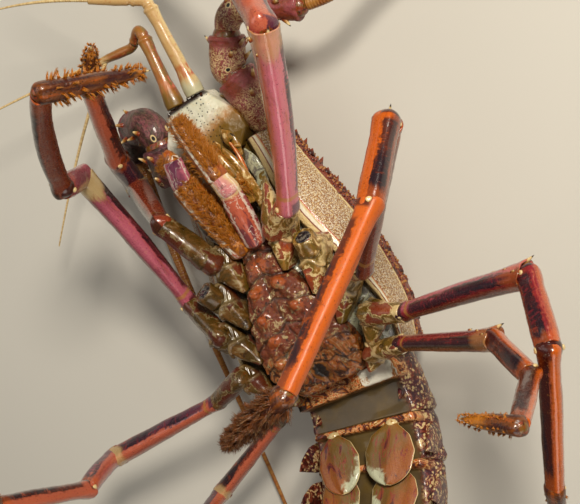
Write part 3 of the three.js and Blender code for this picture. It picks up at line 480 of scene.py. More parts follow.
def swept(path, widths, depths, sides, first_side=(1, 0, 0)):
    """Rings round a path, and their guides."""
    _, side, over = framed(path, first_side)
    turn = around(sides)
    cos, sin = np.cos(turn)[None, :, None], np.sin(turn)[None, :, None]
    wide, deep = (np.asarray(w, float)[:, None, None] for w in (widths, depths))
    rings = path[:, None] + side[:, None] * cos * wide + over[:, None] * sin * deep
    far = lengths(path)
    return rings, limb_guides(turn, wide[:, 0], far, far / far[-1])


def limb_guides(turn, radii, along, share):
    """Where each ring point lies on the limb laid out straight."""
    shape = (len(along), len(turn))
    columns = (np.cos(turn), np.sin(turn), np.reshape(along, (-1, 1)), np.reshape(share, (-1, 1)))
    cos, sin, far, part = (np.broadcast_to(column, shape) for column in columns)
    lie = np.stack([cos * radii, sin * radii, far], -1) * MM
    return {"lie": spread(lie), "round": spread(np.stack([cos, sin, part], -1))}


def new_mesh(name, points, faces):
    """A mesh with its points in metres."""
    mesh = bpy.data.meshes.new(name)
    mesh.from_pydata(np.asarray(points).tolist(), [], faces)
    return mesh


def new_object(name, data):
    """An object in the scene."""
    thing = bpy.data.objects.new(name, data)
    bpy.context.scene.collection.objects.link(thing)
    return thing


def carry(mesh, guide, width, values):
    """Keep a number, or a vector, for each of a mesh's points."""
    layer = mesh.attributes.new(guide, "FLOAT_VECTOR" if width == 3 else "FLOAT", "POINT")
    shape = (len(mesh.vertices), 3)[: 1 + width // 3]
    full = np.broadcast_to(values, shape).astype(np.float32)
    layer.data.foreach_set("vector" if width == 3 else "value", full.ravel())


def points_of(mesh):
    """The points of a mesh, in millimetres."""
    points = np.zeros(len(mesh.vertices) * 3)
    mesh.vertices.foreach_get("co", points)
    return points.reshape(-1, 3) / MM


def joined(parts):
    """Several skins as one list of points and one of faces."""
    points, faces = [], []
    start = 0
    for part_points, part_faces in parts:
        points.append(part_points)
        faces += [tuple(start + i for i in face) for face in part_faces]
        start += len(part_points)
    return np.vstack(points), faces


def melted(parts, voxel, rounds):
    """One even skin over closed parts, with its edges softened."""
    points, faces = joined(parts)
    thing = new_object("making", new_mesh("making", points * MM, faces))
    skin = thing.modifiers.new("Skin", "REMESH")
    skin.mode = "VOXEL"
    skin.voxel_size = voxel * MM
    soft = thing.modifiers.new("Soften", "SMOOTH")
    soft.factor = 0.5
    soft.iterations = rounds
    shown = thing.evaluated_get(bpy.context.evaluated_depsgraph_get())
    mesh = shown.to_mesh()
    points = points_of(mesh)
    faces = [tuple(face.vertices) for face in mesh.polygons]
    shown.to_mesh_clear()
    bpy.data.objects.remove(thing)
    return outward(points, faces)


def node_skin(name, voxel, rounds):
    """An even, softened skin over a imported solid."""
    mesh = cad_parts[name].data
    places, index = np.unique(np.round(points_of(mesh), 3), axis=0, return_inverse=True)
    index = index.ravel()
    faces = [tuple(int(index[v]) for v in face.vertices) for face in mesh.polygons]
    faces = [face for face in faces if len(set(face)) == len(face)]
    return melted([(places, faces)], voxel, rounds)


def raised(skin, height):
    """A skin moved out along its own normals."""
    points, faces = skin
    return points + normals(points, faces) * np.reshape(height, (-1, 1)), faces


def lumpy(skin, *rows):
    """A skin with lumps on it, from rows of their height, their size and a seed."""
    return raised(skin, sum(height * swells(skin[0], *rest) for height, *rest in rows))


class Form:
    """The parts of one piece, in millimetres, until they become its mesh."""

    GUIDES = {"lie": 3, "round": 3, "mark": 1, "soft": 1}

    def __init__(self):
        self.parts = []

    def add(self, skin, finish=0, **guides):
        self.parts.append((skin[0], skin[1], finish, guides))

    def make(self, name, finishes, nodes):
        points, faces = joined([part[:2] for part in self.parts])
        mesh = new_mesh(name, points * MM, faces)
        for finish in finishes:
            mesh.materials.append(finish)
        slots = np.concatenate([np.full(len(part[1]), part[2]) for part in self.parts])
        mesh.polygons.foreach_set("material_index", slots.astype(np.int32))
        for guide, width in self.GUIDES.items():
            shapes = [(len(part[0]), 3)[: 1 + width // 3] for part in self.parts]
            given = [part[3].get(guide, 0.0) for part in self.parts]
            carry(mesh, guide, width, np.concatenate([np.broadcast_to(g, s) for g, s in zip(given, shapes)]))
        mesh.shade_smooth()
        return settled(name, mesh, nodes)

    def stand_in(self, node, finishes, ending="_shell"):
        """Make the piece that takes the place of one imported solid."""
        return self.make(node + ending, finishes, [node])


def settled(name, mesh, nodes):
    """A finished piece, on the root body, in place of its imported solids."""
    piece = new_object(name, mesh)
    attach(piece, "root")
    if nodes:
        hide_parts(*nodes)
    return piece


def ball(centre, radii, sides=20, axes=None):
    """A round knob with its own axes."""
    axes = np.eye(3) if axes is None else np.asarray(axes, float)
    lift = np.radians(np.linspace(-86, 86, sides // 2 + 2))[:, None]
    turn = 2 * np.pi * np.arange(sides) / sides
    sphere = [np.cos(lift) * np.cos(turn), np.cos(lift) * np.sin(turn), np.sin(lift) + 0 * turn]
    return lofted(np.asarray(centre, float) + (np.stack(sphere, -1) * radii) @ axes)


# Things that are set on a skin in great number


def tapered_shape(name, profile, sides, bend=0.0):
    """A master shape, one unit high, from rows of height and radius, leaning by the bend at its tip."""
    turn = 2 * np.pi * np.arange(sides) / sides
    points = []
    for height, radius in profile[:-1]:
        lean = bend * height**2
        points += [(math.cos(a) * radius + lean, math.sin(a) * radius, height) for a in turn]
    points.append((bend, 0, profile[-1][0]))
    faces = []
    for row in range(len(profile) - 2):
        for i in range(sides):
            a, b = row * sides + i, row * sides + (i + 1) % sides
            faces.append((a, b, b + sides, a + sides))
    last = (len(profile) - 2) * sides
    faces += [(last + i, last + (i + 1) % sides, len(points) - 1) for i in range(sides)]
    faces.append(tuple(reversed(range(sides))))
    mesh = new_mesh(name, points, faces)
    carry(mesh, "tip", 1, np.array(points)[:, 2])
    mesh.shade_smooth()
    return new_object(name, mesh)


def planting_tree():
    """Geometry Nodes that set a master shape on every root point, along its own lean."""
    tree = bpy.data.node_groups.new("Planting", "GeometryNodeTree")
    face = tree.interface
    face.new_socket("Geometry", in_out="OUTPUT", socket_type="NodeSocketGeometry")
    sockets = {}
    for name, kind in (("Roots", "Geometry"), ("Shape", "Object"), ("Finish", "Material"), ("Seed", "Int")):
        socket = face.new_socket(name, in_out="INPUT", socket_type="NodeSocket" + kind)
        sockets[name] = socket.identifier

    def node(kind, links=None, **settings):
        made = tree.nodes.new(kind)
        for key, value in settings.items():
            setattr(made, key, value)
        for key, source in (links or {}).items():
            tree.links.new(source, made.inputs[key])
        return made

    def named(kind, name):
        made = node("GeometryNodeInputNamedAttribute", data_type=kind)
        made.inputs["Name"].default_value = name
        return made.outputs["Attribute"]

    given = node("NodeGroupInput").outputs
    shape = node("GeometryNodeObjectInfo", {"Object": given["Shape"]})
    upright = node("FunctionNodeAlignRotationToVector", {"Vector": named("FLOAT_VECTOR", "lean")}, axis="Z")
    twist = node("FunctionNodeRandomValue", {"Seed": given["Seed"]}, data_type="FLOAT")
    twist.inputs[3].default_value = 2 * math.pi
    spin = node("ShaderNodeCombineXYZ", {"Z": twist.outputs[1]})
    angles = node("FunctionNodeEulerToRotation", {0: spin.outputs[0]})
    ways = {"Rotation": upright.outputs[0], "Rotate By": angles.outputs[0]}
    leaning = node("FunctionNodeRotateRotation", ways, rotation_space="LOCAL")
    girth = named("FLOAT", "girth")
    size = node("ShaderNodeCombineXYZ", {"X": girth, "Y": girth, "Z": named("FLOAT", "reach")})
    feeds = {"Points": given["Roots"], "Instance": shape.outputs["Geometry"]}
    feeds |= {"Rotation": leaning.outputs[0], "Scale": size.outputs[0]}
    grown = node("GeometryNodeInstanceOnPoints", feeds)
    real = node("GeometryNodeRealizeInstances", {0: grown.outputs[0]})
    finish = node("GeometryNodeSetMaterial", {"Geometry": real.outputs[0], "Material": given["Finish"]})
    node("NodeGroupOutput", {0: finish.outputs[0]})
    return tree, sockets


def planted(name, shape, finish, slot, seed, place, lean, girth, reach, home, tone):
    """A piece made of one shape at every root, with its place, its way, its size and its bake spot."""
    tree, sockets = planting_tree()
    mesh = new_mesh(name + "_roots", np.asarray(place, float) * MM, [])
    for key, values in (("lean", lean), ("home", home)):
        carry(mesh, key, 3, values)
    for key, values in (("girth", np.multiply(girth, MM)), ("reach", np.multiply(reach, MM)), ("tone", tone)):
        carry(mesh, key, 1, values)
    holder = new_object(name + "_roots", mesh)
    grow = holder.modifiers.new("Planting", "NODES")
    grow.node_group = tree
    for key, value in (("Shape", shape), ("Finish", finish), ("Seed", seed)):
        grow[sockets[key]] = value
    shown = holder.evaluated_get(bpy.context.evaluated_depsgraph_get())
    grown = bpy.data.meshes.new_from_object(shown)
    grown.name = name
    holder.modifiers.remove(grow)
    bpy.data.objects.remove(holder)
    bpy.data.node_groups.remove(tree)
    bpy.data.objects.remove(shape)
    bake_patches(grown, len(grown.vertices) // len(place))
    return settled(name, grown, ())


def bake_patches(mesh, each):
    """A small patch of the bake map for each planted thing, at its root's place on the skin."""
    corner = np.zeros(len(mesh.loops), np.int32)
    mesh.loops.foreach_get("vertex_index", corner)
    home = np.zeros(len(mesh.vertices) * 3, np.float32)
    mesh.attributes["home"].data.foreach_get("vector", home)
    patch = home.reshape(-1, 3)[corner, :2]
    own = corner % each
    patch = patch + 0.003 * np.stack([(own % 3) / 3, own / each], -1)
    layer = mesh.uv_layers.new(name="OFBake")
    layer.data.foreach_set("uv", patch.astype(np.float32).ravel())


def sown(skin, weight, count, seed):
    """Random places on a skin, more where the weight is more, with the way out there."""
    points, faces = skin
    triangles = np.array([(face[0], face[k], face[k + 1]) for face in faces for k in range(1, len(face) - 1)])
    a, b, c = (points[triangles[:, k]] for k in range(3))
    area = np.linalg.norm(np.cross(b - a, c - a), axis=1)
    share = area * weight[triangles].mean(1)
    draw = np.random.default_rng(seed)
    pick = draw.choice(len(triangles), count, p=share / share.sum())
    mix = draw.dirichlet((1, 1, 1), count)[..., None]
    places = (points[triangles[pick]] * mix).sum(1)
    ways = unit((normals(points, faces)[triangles[pick]] * mix).sum(1))
    return places, ways, draw


# Finishes


def tint(code):
    """A colour from its usual six-figure code, as Blender's shaders take it."""
    parts = [int(code[i : i + 2], 16) / 255 for i in (0, 2, 4)]
    return tuple(p / 12.92 if p <= 0.04045 else ((p + 0.055) / 1.055) ** 2.4 for p in parts) + (1.0,)


class Wire:
    """A value in a material's nodes that can stand in a sum."""

    def __init__(self, paint, socket):
        self.paint = paint
        self.socket = socket

    def math(self, operation, *terms):
        return self.paint.node("ShaderNodeMath", {"operation": operation}, dict(enumerate(terms)))

    def __add__(self, other):
        return self.math("ADD", self, other)

    def __radd__(self, other):
        return self.math("ADD", other, self)

    def __sub__(self, other):
        return self.math("SUBTRACT", self, other)

    def __rsub__(self, other):
        return self.math("SUBTRACT", other, self)

    def __mul__(self, other):
        return self.math("MULTIPLY", self, other)

    def __rmul__(self, other):
        return self.math("MULTIPLY", other, self)

    def __abs__(self):
        return self.math("ABSOLUTE", self)

    def sine(self):
        return self.math("SINE", self)

    def over(self, low, high):
        """0 below low, 1 above high, and a smooth rise between."""
        values = {"Value": self, "From Min": low, "From Max": high}
        return self.paint.node("ShaderNodeMapRange", {"interpolation_type": "SMOOTHSTEP"}, values)

    def under(self, low, high):
        """1 below low, 0 above high, and a smooth fall between."""
        return 1 - self.over(low, high)

    def band(self, centre, width):
        """1 at the centre of a band and 0 outside it."""
        return 1 - abs(self - centre).over(0.5 * width, width)

    def scaled(self, x, y, z):
        """A vector with each of its numbers multiplied, which stretches a pattern."""
        return self.paint.node("ShaderNodeVectorMath", {"operation": "MULTIPLY"}, {0: self, 1: (x, y, z)})

    def parts(self):
        """The three numbers of a vector."""
        split = self.paint.node("ShaderNodeSeparateXYZ", None, {0: self})
        return [Wire(self.paint, socket) for socket in split.socket.node.outputs]


class Paint:
    """A material in the making: its shader and the nodes that feed it."""

    def __init__(self, name, roughness, coat=0.0, coat_roughness=0.1, specular=0.5):
        self.material = bpy.data.materials.new(name)
        self.material.use_nodes = True
        self.tree = self.material.node_tree
        self.tree.nodes.clear()
        self.shader = self.tree.nodes.new("ShaderNodeBsdfPrincipled")
        self.feed("Roughness", roughness)
        self.feed("Coat Weight", coat)
        self.feed("Coat Roughness", coat_roughness)
        self.feed("Specular IOR Level", specular)
        out = self.tree.nodes.new("ShaderNodeOutputMaterial")
        self.tree.links.new(self.shader.outputs[0], out.inputs[0])

    def feed(self, key, value, node=None):
        """Give a socket of a node, or else of the shader, a value or a link."""
        socket = (node or self.shader).inputs[key]
        if isinstance(value, Wire):
            self.tree.links.new(value.socket, socket)
        else:
            socket.default_value = value

    def node(self, kind, settings=None, sockets=None, out=0):
        """Any node, from its type, its settings and the values or links of its sockets."""
        made = self.tree.nodes.new(kind)
        for key, value in (settings or {}).items():
            setattr(made, key, value)
        for key, value in (sockets or {}).items():
            self.feed(key, value, made)
        return Wire(self, made.outputs[out])

    def guide(self, name, out=2):
        """A number that the mesh carries, or a vector from the second outlet."""
        return self.node("ShaderNodeAttribute", {"attribute_name": name}, out=out)

    @functools.cached_property
    def lie(self):
        """Where each point lies on its piece laid out straight."""
        return self.guide("lie", 1)

    @functools.cached_property
    def round(self):
        """Cosine and sine of the way round a limb, and the share of the way along it."""
        return self.guide("round", 1).parts()

    @functools.cached_property
    def place(self):
        """Object coordinates."""
        return self.node("ShaderNodeTexCoord", out=3)

    def noise(self, vector, scale, detail=3.0, roughness=0.55, distortion=0.0):
        names = ("Vector", "Scale", "Detail", "Roughness", "Distortion")
        values = (vector, scale, detail, roughness, distortion)
        return self.node("ShaderNodeTexNoise", None, dict(zip(names, values)))

    def cells(self, vector, scale):
        return self.node("ShaderNodeTexVoronoi", None, {"Vector": vector, "Scale": scale})

    def layers(self, ground, *coats):
        """Coats of colour laid over a ground, each where its mask is 1."""
        colour = hue(ground)
        for mask, coat in coats:
            values = {0: mask, 6: colour, 7: hue(coat)}
            colour = self.node("ShaderNodeMix", {"data_type": "RGBA"}, values, out=2)
        self.feed("Base Color", colour)

    def bump(self, height, depth, strength=1.0):
        """Fine relief, this many millimetres deep."""
        values = {"Height": height, "Distance": depth * MM, "Strength": strength}
        self.feed("Normal", self.node("ShaderNodeBump", None, values))


def painted(roughness, coat=0.0, **gloss):
    """Make a function that lays colours and relief give its material, made once for each kind."""

    def wrap(lay):
        @functools.cache
        @functools.wraps(lay)
        def made(*kinds):
            paint = Paint("_".join((lay.__name__, *kinds)), roughness, coat, **gloss)
            lay(paint, *kinds)
            return paint.material

        return made

    return wrap


def colour(name, description, code):
    """A colour that a user may change."""
    return bpy.props.FloatVectorProperty(
        name=name, description=description, subtype="COLOR", size=4, min=0, max=1, default=tint(code)
    )


def size(name, description, millimetres):
    """A length that a user may change."""
    return bpy.props.FloatProperty(
        name=name, description=description, subtype="DISTANCE", unit="LENGTH", min=0, default=millimetres * MM
    )


class LobsterColours(bpy.types.PropertyGroup):
    """The colours of the shell."""

    cream: colour("Cream", "Pale shell at margins and knobs", "d8c08a")
    white: colour("White", "Lightest shell", "e8e4d2")
    tan: colour("Tan", "Pale brown shell", "a3702f")
    orange: colour("Orange", "Bright sides of the walking legs", "c65b12")
    salmon: colour("Salmon", "Lit ridges of the legs", "bb5f44")
    rose: colour("Rose", "Lightest sides of the front legs", "c0687a")
    crimson: colour("Crimson", "Front legs", "84222a")
    mauve: colour("Mauve", "Rosy sides of the front legs", "ae586a")
    wine: colour("Wine", "Shaded sides of the legs", "4c1612")
    rust: colour("Rust", "Red-brown shell", "7c3010")
    brick: colour("Brick", "Patches on the leg bases", "883620")
    maroon: colour("Maroon", "Dark sides of the legs", "380e0a")
    purple: colour("Purple", "Stripes of the legs", "421e38")
    navy: colour("Navy", "Dark spots at the joints", "15101b")
    olive: colour("Olive", "Soft skin of the joints", "6a5218")
    khaki: colour("Khaki", "Soft belly", "4b3b1c")
    umber: colour("Umber", "Grooves", "241305")
    ginger: colour("Ginger", "The furry end of one leg", "6e3a0e")
    gold: colour("Gold", "Bristles", "b56e14")
    sea: colour("Pale green", "Inner tips of the swimmerets", "b3b596")
    grey: colour("Grey", "Cut faces of the lost legs", "6a655c")
    black: colour("Black", "Eyes and dots", "0d0b0b")
    floor: colour("Floor", "The floor", "c9c6bd")
    floor_light: colour("Light floor", "Paler parts of the floor", "d6d3ca")


class LobsterSizes(bpy.types.PropertyGroup):
    """Sizes of the fine forms."""

    bristle: size("Bristle", "Length of the bristles on the last leg pieces", 4.0)
    bristle_girth: size("Bristle girth", "Radius of a bristle at its root", 0.13)
    brush: size("Brush", "Length of the bristles on the mouth legs", 5.5)
    spine: size("Spine", "Length of the largest spines on the back", 6.0)
    knob: size("Knob", "Radius of the knobs on the back", 0.9)
    rim: size("Rim", "Thickness of the rims at the leg joints", 0.7)


def hue(name):
    """One of the model's colours."""
    return tuple(getattr(bpy.context.scene.lobster_colours, name))


def span(name):
    """One of the model's sizes, in millimetres."""
    return getattr(bpy.context.scene.lobster_sizes, name) / MM


@functools.cache
def limb_shell(name, ringed, ground, lit, dark, lit_at, dark_at, window=0.0, gloss=0.5):
    """The glossy shell of a leg piece: a painted lit side with painted shade opposite it, a dark feathered
    stripe and a pale far window.
    """
    paint = Paint(name, 0.3, max(0, 1.6 * gloss - 0.2))
    cos, sin, share = paint.round
    streak = paint.noise(paint.lie.scaled(1, 1, 0.12), 380, 4)
    comb = paint.noise(paint.lie.scaled(0.35, 0.35, 1), 520, 4, 0.65)
    fleck = paint.noise(paint.lie, 1300, 4, 0.7)
    blotch = paint.noise(paint.lie.scaled(1, 1, 0.4), 150, 5, 0.7, 0.6)
    waver = (streak - 0.5) * 0.6 + (comb - 0.5) * 0.45
    lean = turned(cos, sin, math.radians(lit_at)) + waver * 0.8
    aside = turned(cos, sin, math.radians(dark_at)) + waver + (blotch - 0.5) * 0.4
    body = share.over(0.13, 0.17)
    stripe = aside.over(0.78, 0.92) * body
    pane = (cos * 0.55 + share * 6.5 - 6.0 + (blotch - 0.5) * 0.7).over(-0.1, 0.3) * window
    flare = (share + (streak - 0.5) * 0.25).over(0.84, 0.93) * (1 - window)
    collar = (share + (fleck - 0.5) * 0.02).band(0.125, 0.014)
    spot = (0.1 - share).over(0.0, 0.02) * aside.over(0.45, 0.6)
    rim = (share + (comb - 0.5) * 0.01).over(0.976, 0.984)
    paint.layers(
        ground,
        # Painted shade: rust over the side turned away from lit_at. Painted light: the lit colour over the
        # side towards lit_at.
        (lean.under(-0.6, 0.1) * 0.6, "rust"),
        (lean.over(0.2, 0.7) * 0.9, lit),
        (streak.over(0.52, 0.66) * 0.4, ground),
        (blotch.over(0.48, 0.7) * 0.5, "wine"),
        (fleck.over(0.55, 0.68) * 0.4, "tan"),
        (fleck.under(0.32, 0.42) * 0.8, "maroon"),
        (stripe * 0.85, dark),
        (stripe * (blotch + share * 0.3).over(0.62, 0.76) * 0.8, "navy"),
        (stripe * comb.over(0.55, 0.66) * 0.5, ground),
        (aside.band(0.66, 0.05) * body * 0.4, "salmon"),
        (flare * 0.4, "orange"),
        (collar * 0.7 * ringed, "tan"),
        (spot * 0.85, dark),
        (pane * 0.85, "tan"),
        (pane * streak.over(0.5, 0.66) * 0.5, "olive"),
        (pane * (blotch + share).over(1.2, 1.4) * 0.8, "cream"),
        (rim * comb.over(0.5, 0.6) * 0.5, "tan"),
    )
    paint.feed("Roughness", 0.42 - 0.6 * gloss + fleck * 0.26)
    paint.bump(fleck * 0.5 + streak * 0.6 + comb * 0.3, 0.22, 0.8)
    return paint.material


@painted(0.36, 0.35)
def dactyl_shell(paint, legs):
    """The last leg piece: glossy red-brown, golden at its tip and further down on the rear legs."""
    _, _, share = paint.round
    golden = 0.8 if legs == "front" else 0.45
    streak = paint.noise(paint.lie.scaled(1, 1, 0.15), 500, 4)
    pore = paint.cells(paint.lie, 900)
    paint.layers(
        "maroon",
        (streak.over(0.36, 0.56) * 0.9, "ginger"),
        (streak.over(0.56, 0.7) * 0.35, "orange"),
        (pore.under(0.16, 0.26), "umber"),
        ((share + (streak - 0.5) * 0.4).over(golden, golden + 0.2), "gold"),
    )
    paint.bump(streak + pore, 0.2)


@painted(0.26, 0.5)
def base_shell(paint):
    """Leg bases: brick patches ringed with cream on marbled olive-tan shell, and soft olive skin; painted
    shade darkens the bases on the animal's right.
    """
    soft = paint.guide("soft")
    mark = paint.guide("mark")
    warp = paint.noise(paint.lie, 180, 4, 0.6, 0.6)
    marble = paint.noise(paint.lie, 130, 4, 0.6, 1.4)
    fine = paint.noise(paint.lie, 1100, 4, 0.7)
    wide, _, _ = paint.place.parts()
    away = paint.cells(paint.lie.scaled(1.1, 1.1, 0.8), 84) + (warp - 0.5) * 1.3
    patch = away.under(0.36, 0.42)
    paint.layers(
        "olive",
        (marble.over(0.42, 0.6), "tan"),
        # A little more cream towards the animal's left is painted light.
        ((marble + wide * 1.5).over(0.55, 0.62) * 0.85, "cream"),
        (warp.under(0.34, 0.42) * 0.8, "umber"),
        (fine.over(0.54, 0.7) * 0.3, "rust"),
        (patch * 0.9, "brick"),
        (patch * warp.over(0.5, 0.65) * 0.6, "orange"),
        (patch * fine.over(0.5, 0.7) * 0.5, "wine"),
        (away.band(0.45, 0.05) * fine.over(0.36, 0.46) * 0.8, "cream"),
        (mark * 0.7, "cream"),
        (mark * fine.over(0.5, 0.62) * 0.7, "tan"),
        (soft, "olive"),
        (soft * warp.over(0.45, 0.6) * 0.8, "cream"),
        (soft * fine.over(0.5, 0.7) * 0.4, "umber"),
        # Painted shade: umber over the bases on the animal's right.
        ((wide * -1000).over(2, 14) * 0.7, "umber"),
    )
    paint.feed("Roughness", 0.18 + fine * 0.22)
    paint.bump((warp + fine * 0.4) * (1 - soft) + soft * warp * 0.6, 0.4)


@painted(0.16, 0.7)
def membrane_skin(paint):
    """The glossy soft skin between the leg bases."""
    fold = paint.noise(paint.place, 160, 5, 0.65, 1.2)
    fine = paint.noise(paint.place, 700, 4, 0.7)
    paint.layers(
        "grey",
        (fold.over(0.42, 0.56), "sea"),
        (fold.over(0.56, 0.66), "olive"),
        (fine.over(0.55, 0.7) * 0.5, "umber"),
    )
    paint.bump(fold + fine * 0.2, 0.7)


@painted(0.28, 0.4)
def joint_skin(paint):
    """The soft skin between two hard pieces, in fine folds."""
    fold = paint.noise(paint.place, 700, 4, 0.6, 0.8)
    patch = paint.noise(paint.place, 260, 4, 0.6, 1.0)
    paint.layers(
        "rust",
        (patch.over(0.44, 0.56) * 0.8, "olive"),
        (fold.under(0.34, 0.46), "umber"),
        (fold.over(0.6, 0.7) * 0.6, "tan"),
    )
    paint.bump(fold, 0.3)


@painted(0.3, 0.4)
def cream_shell(paint):
    """Pale knobs and joint bearings with a few brown flecks."""
    fleck = paint.noise(paint.place, 520, 4)
    paint.layers("cream", (fleck.over(0.55, 0.7), "tan"), (fleck.over(0.68, 0.74), "rust"))
    paint.bump(fleck, 0.15)


@painted(0.3, 0.3)
def thorn_shell(paint):
    """Spines: shell at the root, yellow above and dark at the tip."""
    _, _, share = paint.round
    far = share + (paint.noise(paint.place, 600, 3) - 0.5) * 0.2
    paint.layers(
        "rust",
        (far.over(0.25, 0.45), "tan"),
        (far.over(0.5, 0.7), "cream"),
        (far.over(0.78, 0.9), "umber"),
    )


@painted(0.32, 0.45)
def sternum_shell(paint):
    """The breastplate: granular brick bosses marbled with cream, dark grooves, wavy bands at the rear and a
    black spot of painted shade for a hole.
    """
    place = paint.place
    boss = paint.guide("mark")
    groove = paint.guide("soft")
    marble = paint.noise(place, 170, 6, 0.75, 1.6)
    fine = paint.noise(place, 700, 5, 0.75)
    cloud = paint.noise(place, 75, 4, 0.6, 1.0)
    bands = (paint.noise(place, 60, 3, 0.55, 1.8) * 34).sine()
    wide, far, _ = place.parts()
    beside, behind = wide * 1000 - 1, far * 1000 + 55
    hole = beside * beside + behind * behind * 0.6 + (cloud + fine - 1) * 16
    rear = (far * -1000 + (cloud - 0.5) * 20).over(38, 46)
    paint.layers(
        "rust",
        (cloud.over(0.42, 0.62) * 0.6, "ginger"),
        ((boss + (fine - 0.5) * 1.6).over(0.2, 0.9) * 0.7, "orange"),
        (fine.over(0.54, 0.64) * 0.35, "tan"),
        (fine.under(0.38, 0.46), "umber"),
        (marble.over(0.55, 0.59) * (1 - boss * 0.5) * 0.9, "cream"),
        (marble.over(0.6, 0.64) * 0.7, "olive"),
        (rear * bands.over(-0.4, 0.3) * 0.75, "gold"),
        (rear * bands.over(0.3, 0.7) * 0.6, "orange"),
        (rear * bands.over(0.9, 1.0) * 0.5, "cream"),
        (rear * bands.under(-0.95, -0.75) * 0.8, "umber"),
        (hole.band(14, 7) * 0.7, "gold"),
        # Painted shade: black in the middle of the gold ring, for a hole that the mesh doesn't have.
        (hole.under(5, 10), "black"),
        (groove * fine.over(0.3, 0.5) * 0.9, "umber"),
        (0.24 + rear * 0.1, "umber"),
    )
    paint.feed("Roughness", 0.26 + fine * 0.34)
    paint.bump(marble * 0.8 + fine, 0.7)


@painted(0.5, 0.15)
def carapace_shell(paint):
    """The carapace: a cream margin, a tan granular flank, a cream line and a dark red back."""
    place = paint.place
    inside = paint.guide("soft")
    grain = paint.cells(place, 1250)
    speck = paint.noise(place, 1700, 4, 0.7)
    cloud = paint.noise(place, 60, 4, 0.6)
    marble = paint.noise(place, 240, 5, 0.65, 0.6)
    edge = paint.guide("mark") + (marble - 0.5) * 0.8
    back = edge.over(19.6, 20.4)
    flank = 1 - back
    paint.layers(
        "tan",
        (cloud.over(0.4, 0.65) * flank * 0.3, "rust"),
        (grain.over(0.4, 0.65) * flank * 0.25, "umber"),
        (grain.under(0.26, 0.42) * flank * 0.9, "cream"),
        (speck.over(0.48, 0.6) * flank * 0.8, "white"),
        (back, "brick"),
        (back * marble.over(0.5, 0.6), "maroon"),
        (back * speck.over(0.58, 0.68) * 0.8, "tan"),
        (edge.band(19.8, 0.6), "cream"),
        (edge.under(5.2, 5.6), "salmon"),
        (edge.under(4.6, 5.0), "cream"),
        (edge.band(2.4, 0.4), "rust"),
        (edge.band(3.4, 1.0) * 0.8, "white"),
        (edge.under(0.7, 1.2), "tan"),
        (inside, "olive"),
        (inside * marble.over(0.45, 0.6) * 0.7, "umber"),
        (inside * marble.over(0.6, 0.68), "cream"),
    )
    paint.feed("Roughness", 0.34 + speck * 0.3)
    paint.bump(grain * (1 - inside) + speck * 0.4, 0.35)


@painted(0.4, 0.2)
def knob_shell(paint):
    """Knobs and spines on the back: dark red with orange and cream tops."""
    tip = paint.guide("tip")
    tone = paint.guide("tone")
    paint.layers("maroon", ((tip + tone * 0.5).over(0.4, 0.9), "rust"), ((tip + tone).over(1.2, 1.5), "tan"))


@painted(0.34, 0.4)
def tail_shell(paint):
    """Tail rings: maroon and cream mottles above, a mottled bar with a painted highlight and soft khaki skin
    below.
    """
    place = paint.place
    soft = paint.guide("soft")
    bar = paint.guide("mark")
    marble = paint.noise(place, 300, 6, 0.72, 1.2)
    fine = paint.noise(place, 1000, 4, 0.7)
    wave = paint.noise(place, 60, 4, 0.6, 1.6)
    speck = paint.cells(place, 430)
    fold = paint.noise(place, 90, 3)
    bands = (wave * 36).sine()
    wide, _, _ = place.parts()
    pale = bar + (wave - 0.5) * 2.2
    # Painted highlight: gold and white over the bar's pale part, from the middle to the animal's left, where
    # the roughness is also lower.
    painted_shine = pale.over(1.3, 1.6) * (wide * 1000).over(-8, 2)
    hard = 1 - soft
    paint.layers(
        "maroon",
        (marble.over(0.44, 0.56), "brick"),
        (marble.over(0.55, 0.62), "rust"),
        (wave.over(0.5, 0.6) * hard * 0.5, "purple"),
        ((speck + (fine - 0.5) * 0.5).under(0.24, 0.36) * hard * 0.9, "cream"),
        (marble.over(0.56, 0.6) * hard, "cream"),
        (marble.over(0.66, 0.7) * hard, "rust"),
        (bar, "rust"),
        (bar * bands.over(-0.5, 0.1) * 0.9, "gold"),
        (bar * bands.over(0.3, 0.6), "cream"),
        (bar * bands.over(0.75, 0.9), "orange"),
        (bar * bands.under(-0.95, -0.75) * 0.8, "umber"),
        (painted_shine, "gold"),
        (painted_shine * pale.over(1.45, 1.6) * marble.over(0.36, 0.42), "white"),
        (soft, "khaki"),
        (soft * fold.over(0.4, 0.75) * 0.5, "olive"),
        (soft * marble.over(0.5, 0.75) * 0.15, "grey"),
    )
    paint.feed("Roughness", 0.28 + fine * 0.14 - painted_shine * 0.18 + soft * 0.12)
    paint.bump((marble + fine * 0.4) * hard + fold * soft * 0.5, 0.45)


@painted(0.34, 0.4)
def leaf_shell(paint):
    """Swimmerets: orange-tan leaves with a cream rim, dark streaks and a pale green inner tip."""
    across, edge, share = paint.round
    lie = paint.lie
    fine = paint.noise(lie, 1300, 5, 0.75)
    cloud = paint.noise(lie, 120, 4, 0.6, 0.8)
    streak = paint.noise(lie.scaled(1, 1, 0.35), 190, 5, 0.7, 1.6)
    pale = (share * 1.5 - across * 0.6 + (cloud - 0.5) * 1.6).over(1.35, 1.6)
    paint.layers(
        "olive",
        (fine.over(0.4, 0.6) * 0.5, "rust"),
        ((cloud + across * 0.3 + share * 0.2).over(0.5, 0.7) * 0.36, "orange"),
        (fine.over(0.44, 0.66) * 0.3, "umber"),
        ((0.75 - share - across * 0.3 + (cloud - 0.5)).over(0.0, 0.4) * 0.7, "olive"),
        ((0.5 - share + (fine - 0.5)).over(0.2, 0.5) * 0.3, "gold"),
        (pale, "sea"),
        (pale * fine.over(0.55, 0.65) * 0.5, "olive"),
        (streak.over(0.53, 0.57) * (0.8 - share).over(0, 0.2) * (1 - pale), "brick"),
        (streak.over(0.58, 0.62) * (1 - pale * 0.5), "wine"),
        (edge.over(0.965, 0.98), "cream"),
    )
    paint.feed("Roughness", 0.28 + fine * 0.2)
    paint.bump(fine + streak, 0.25)


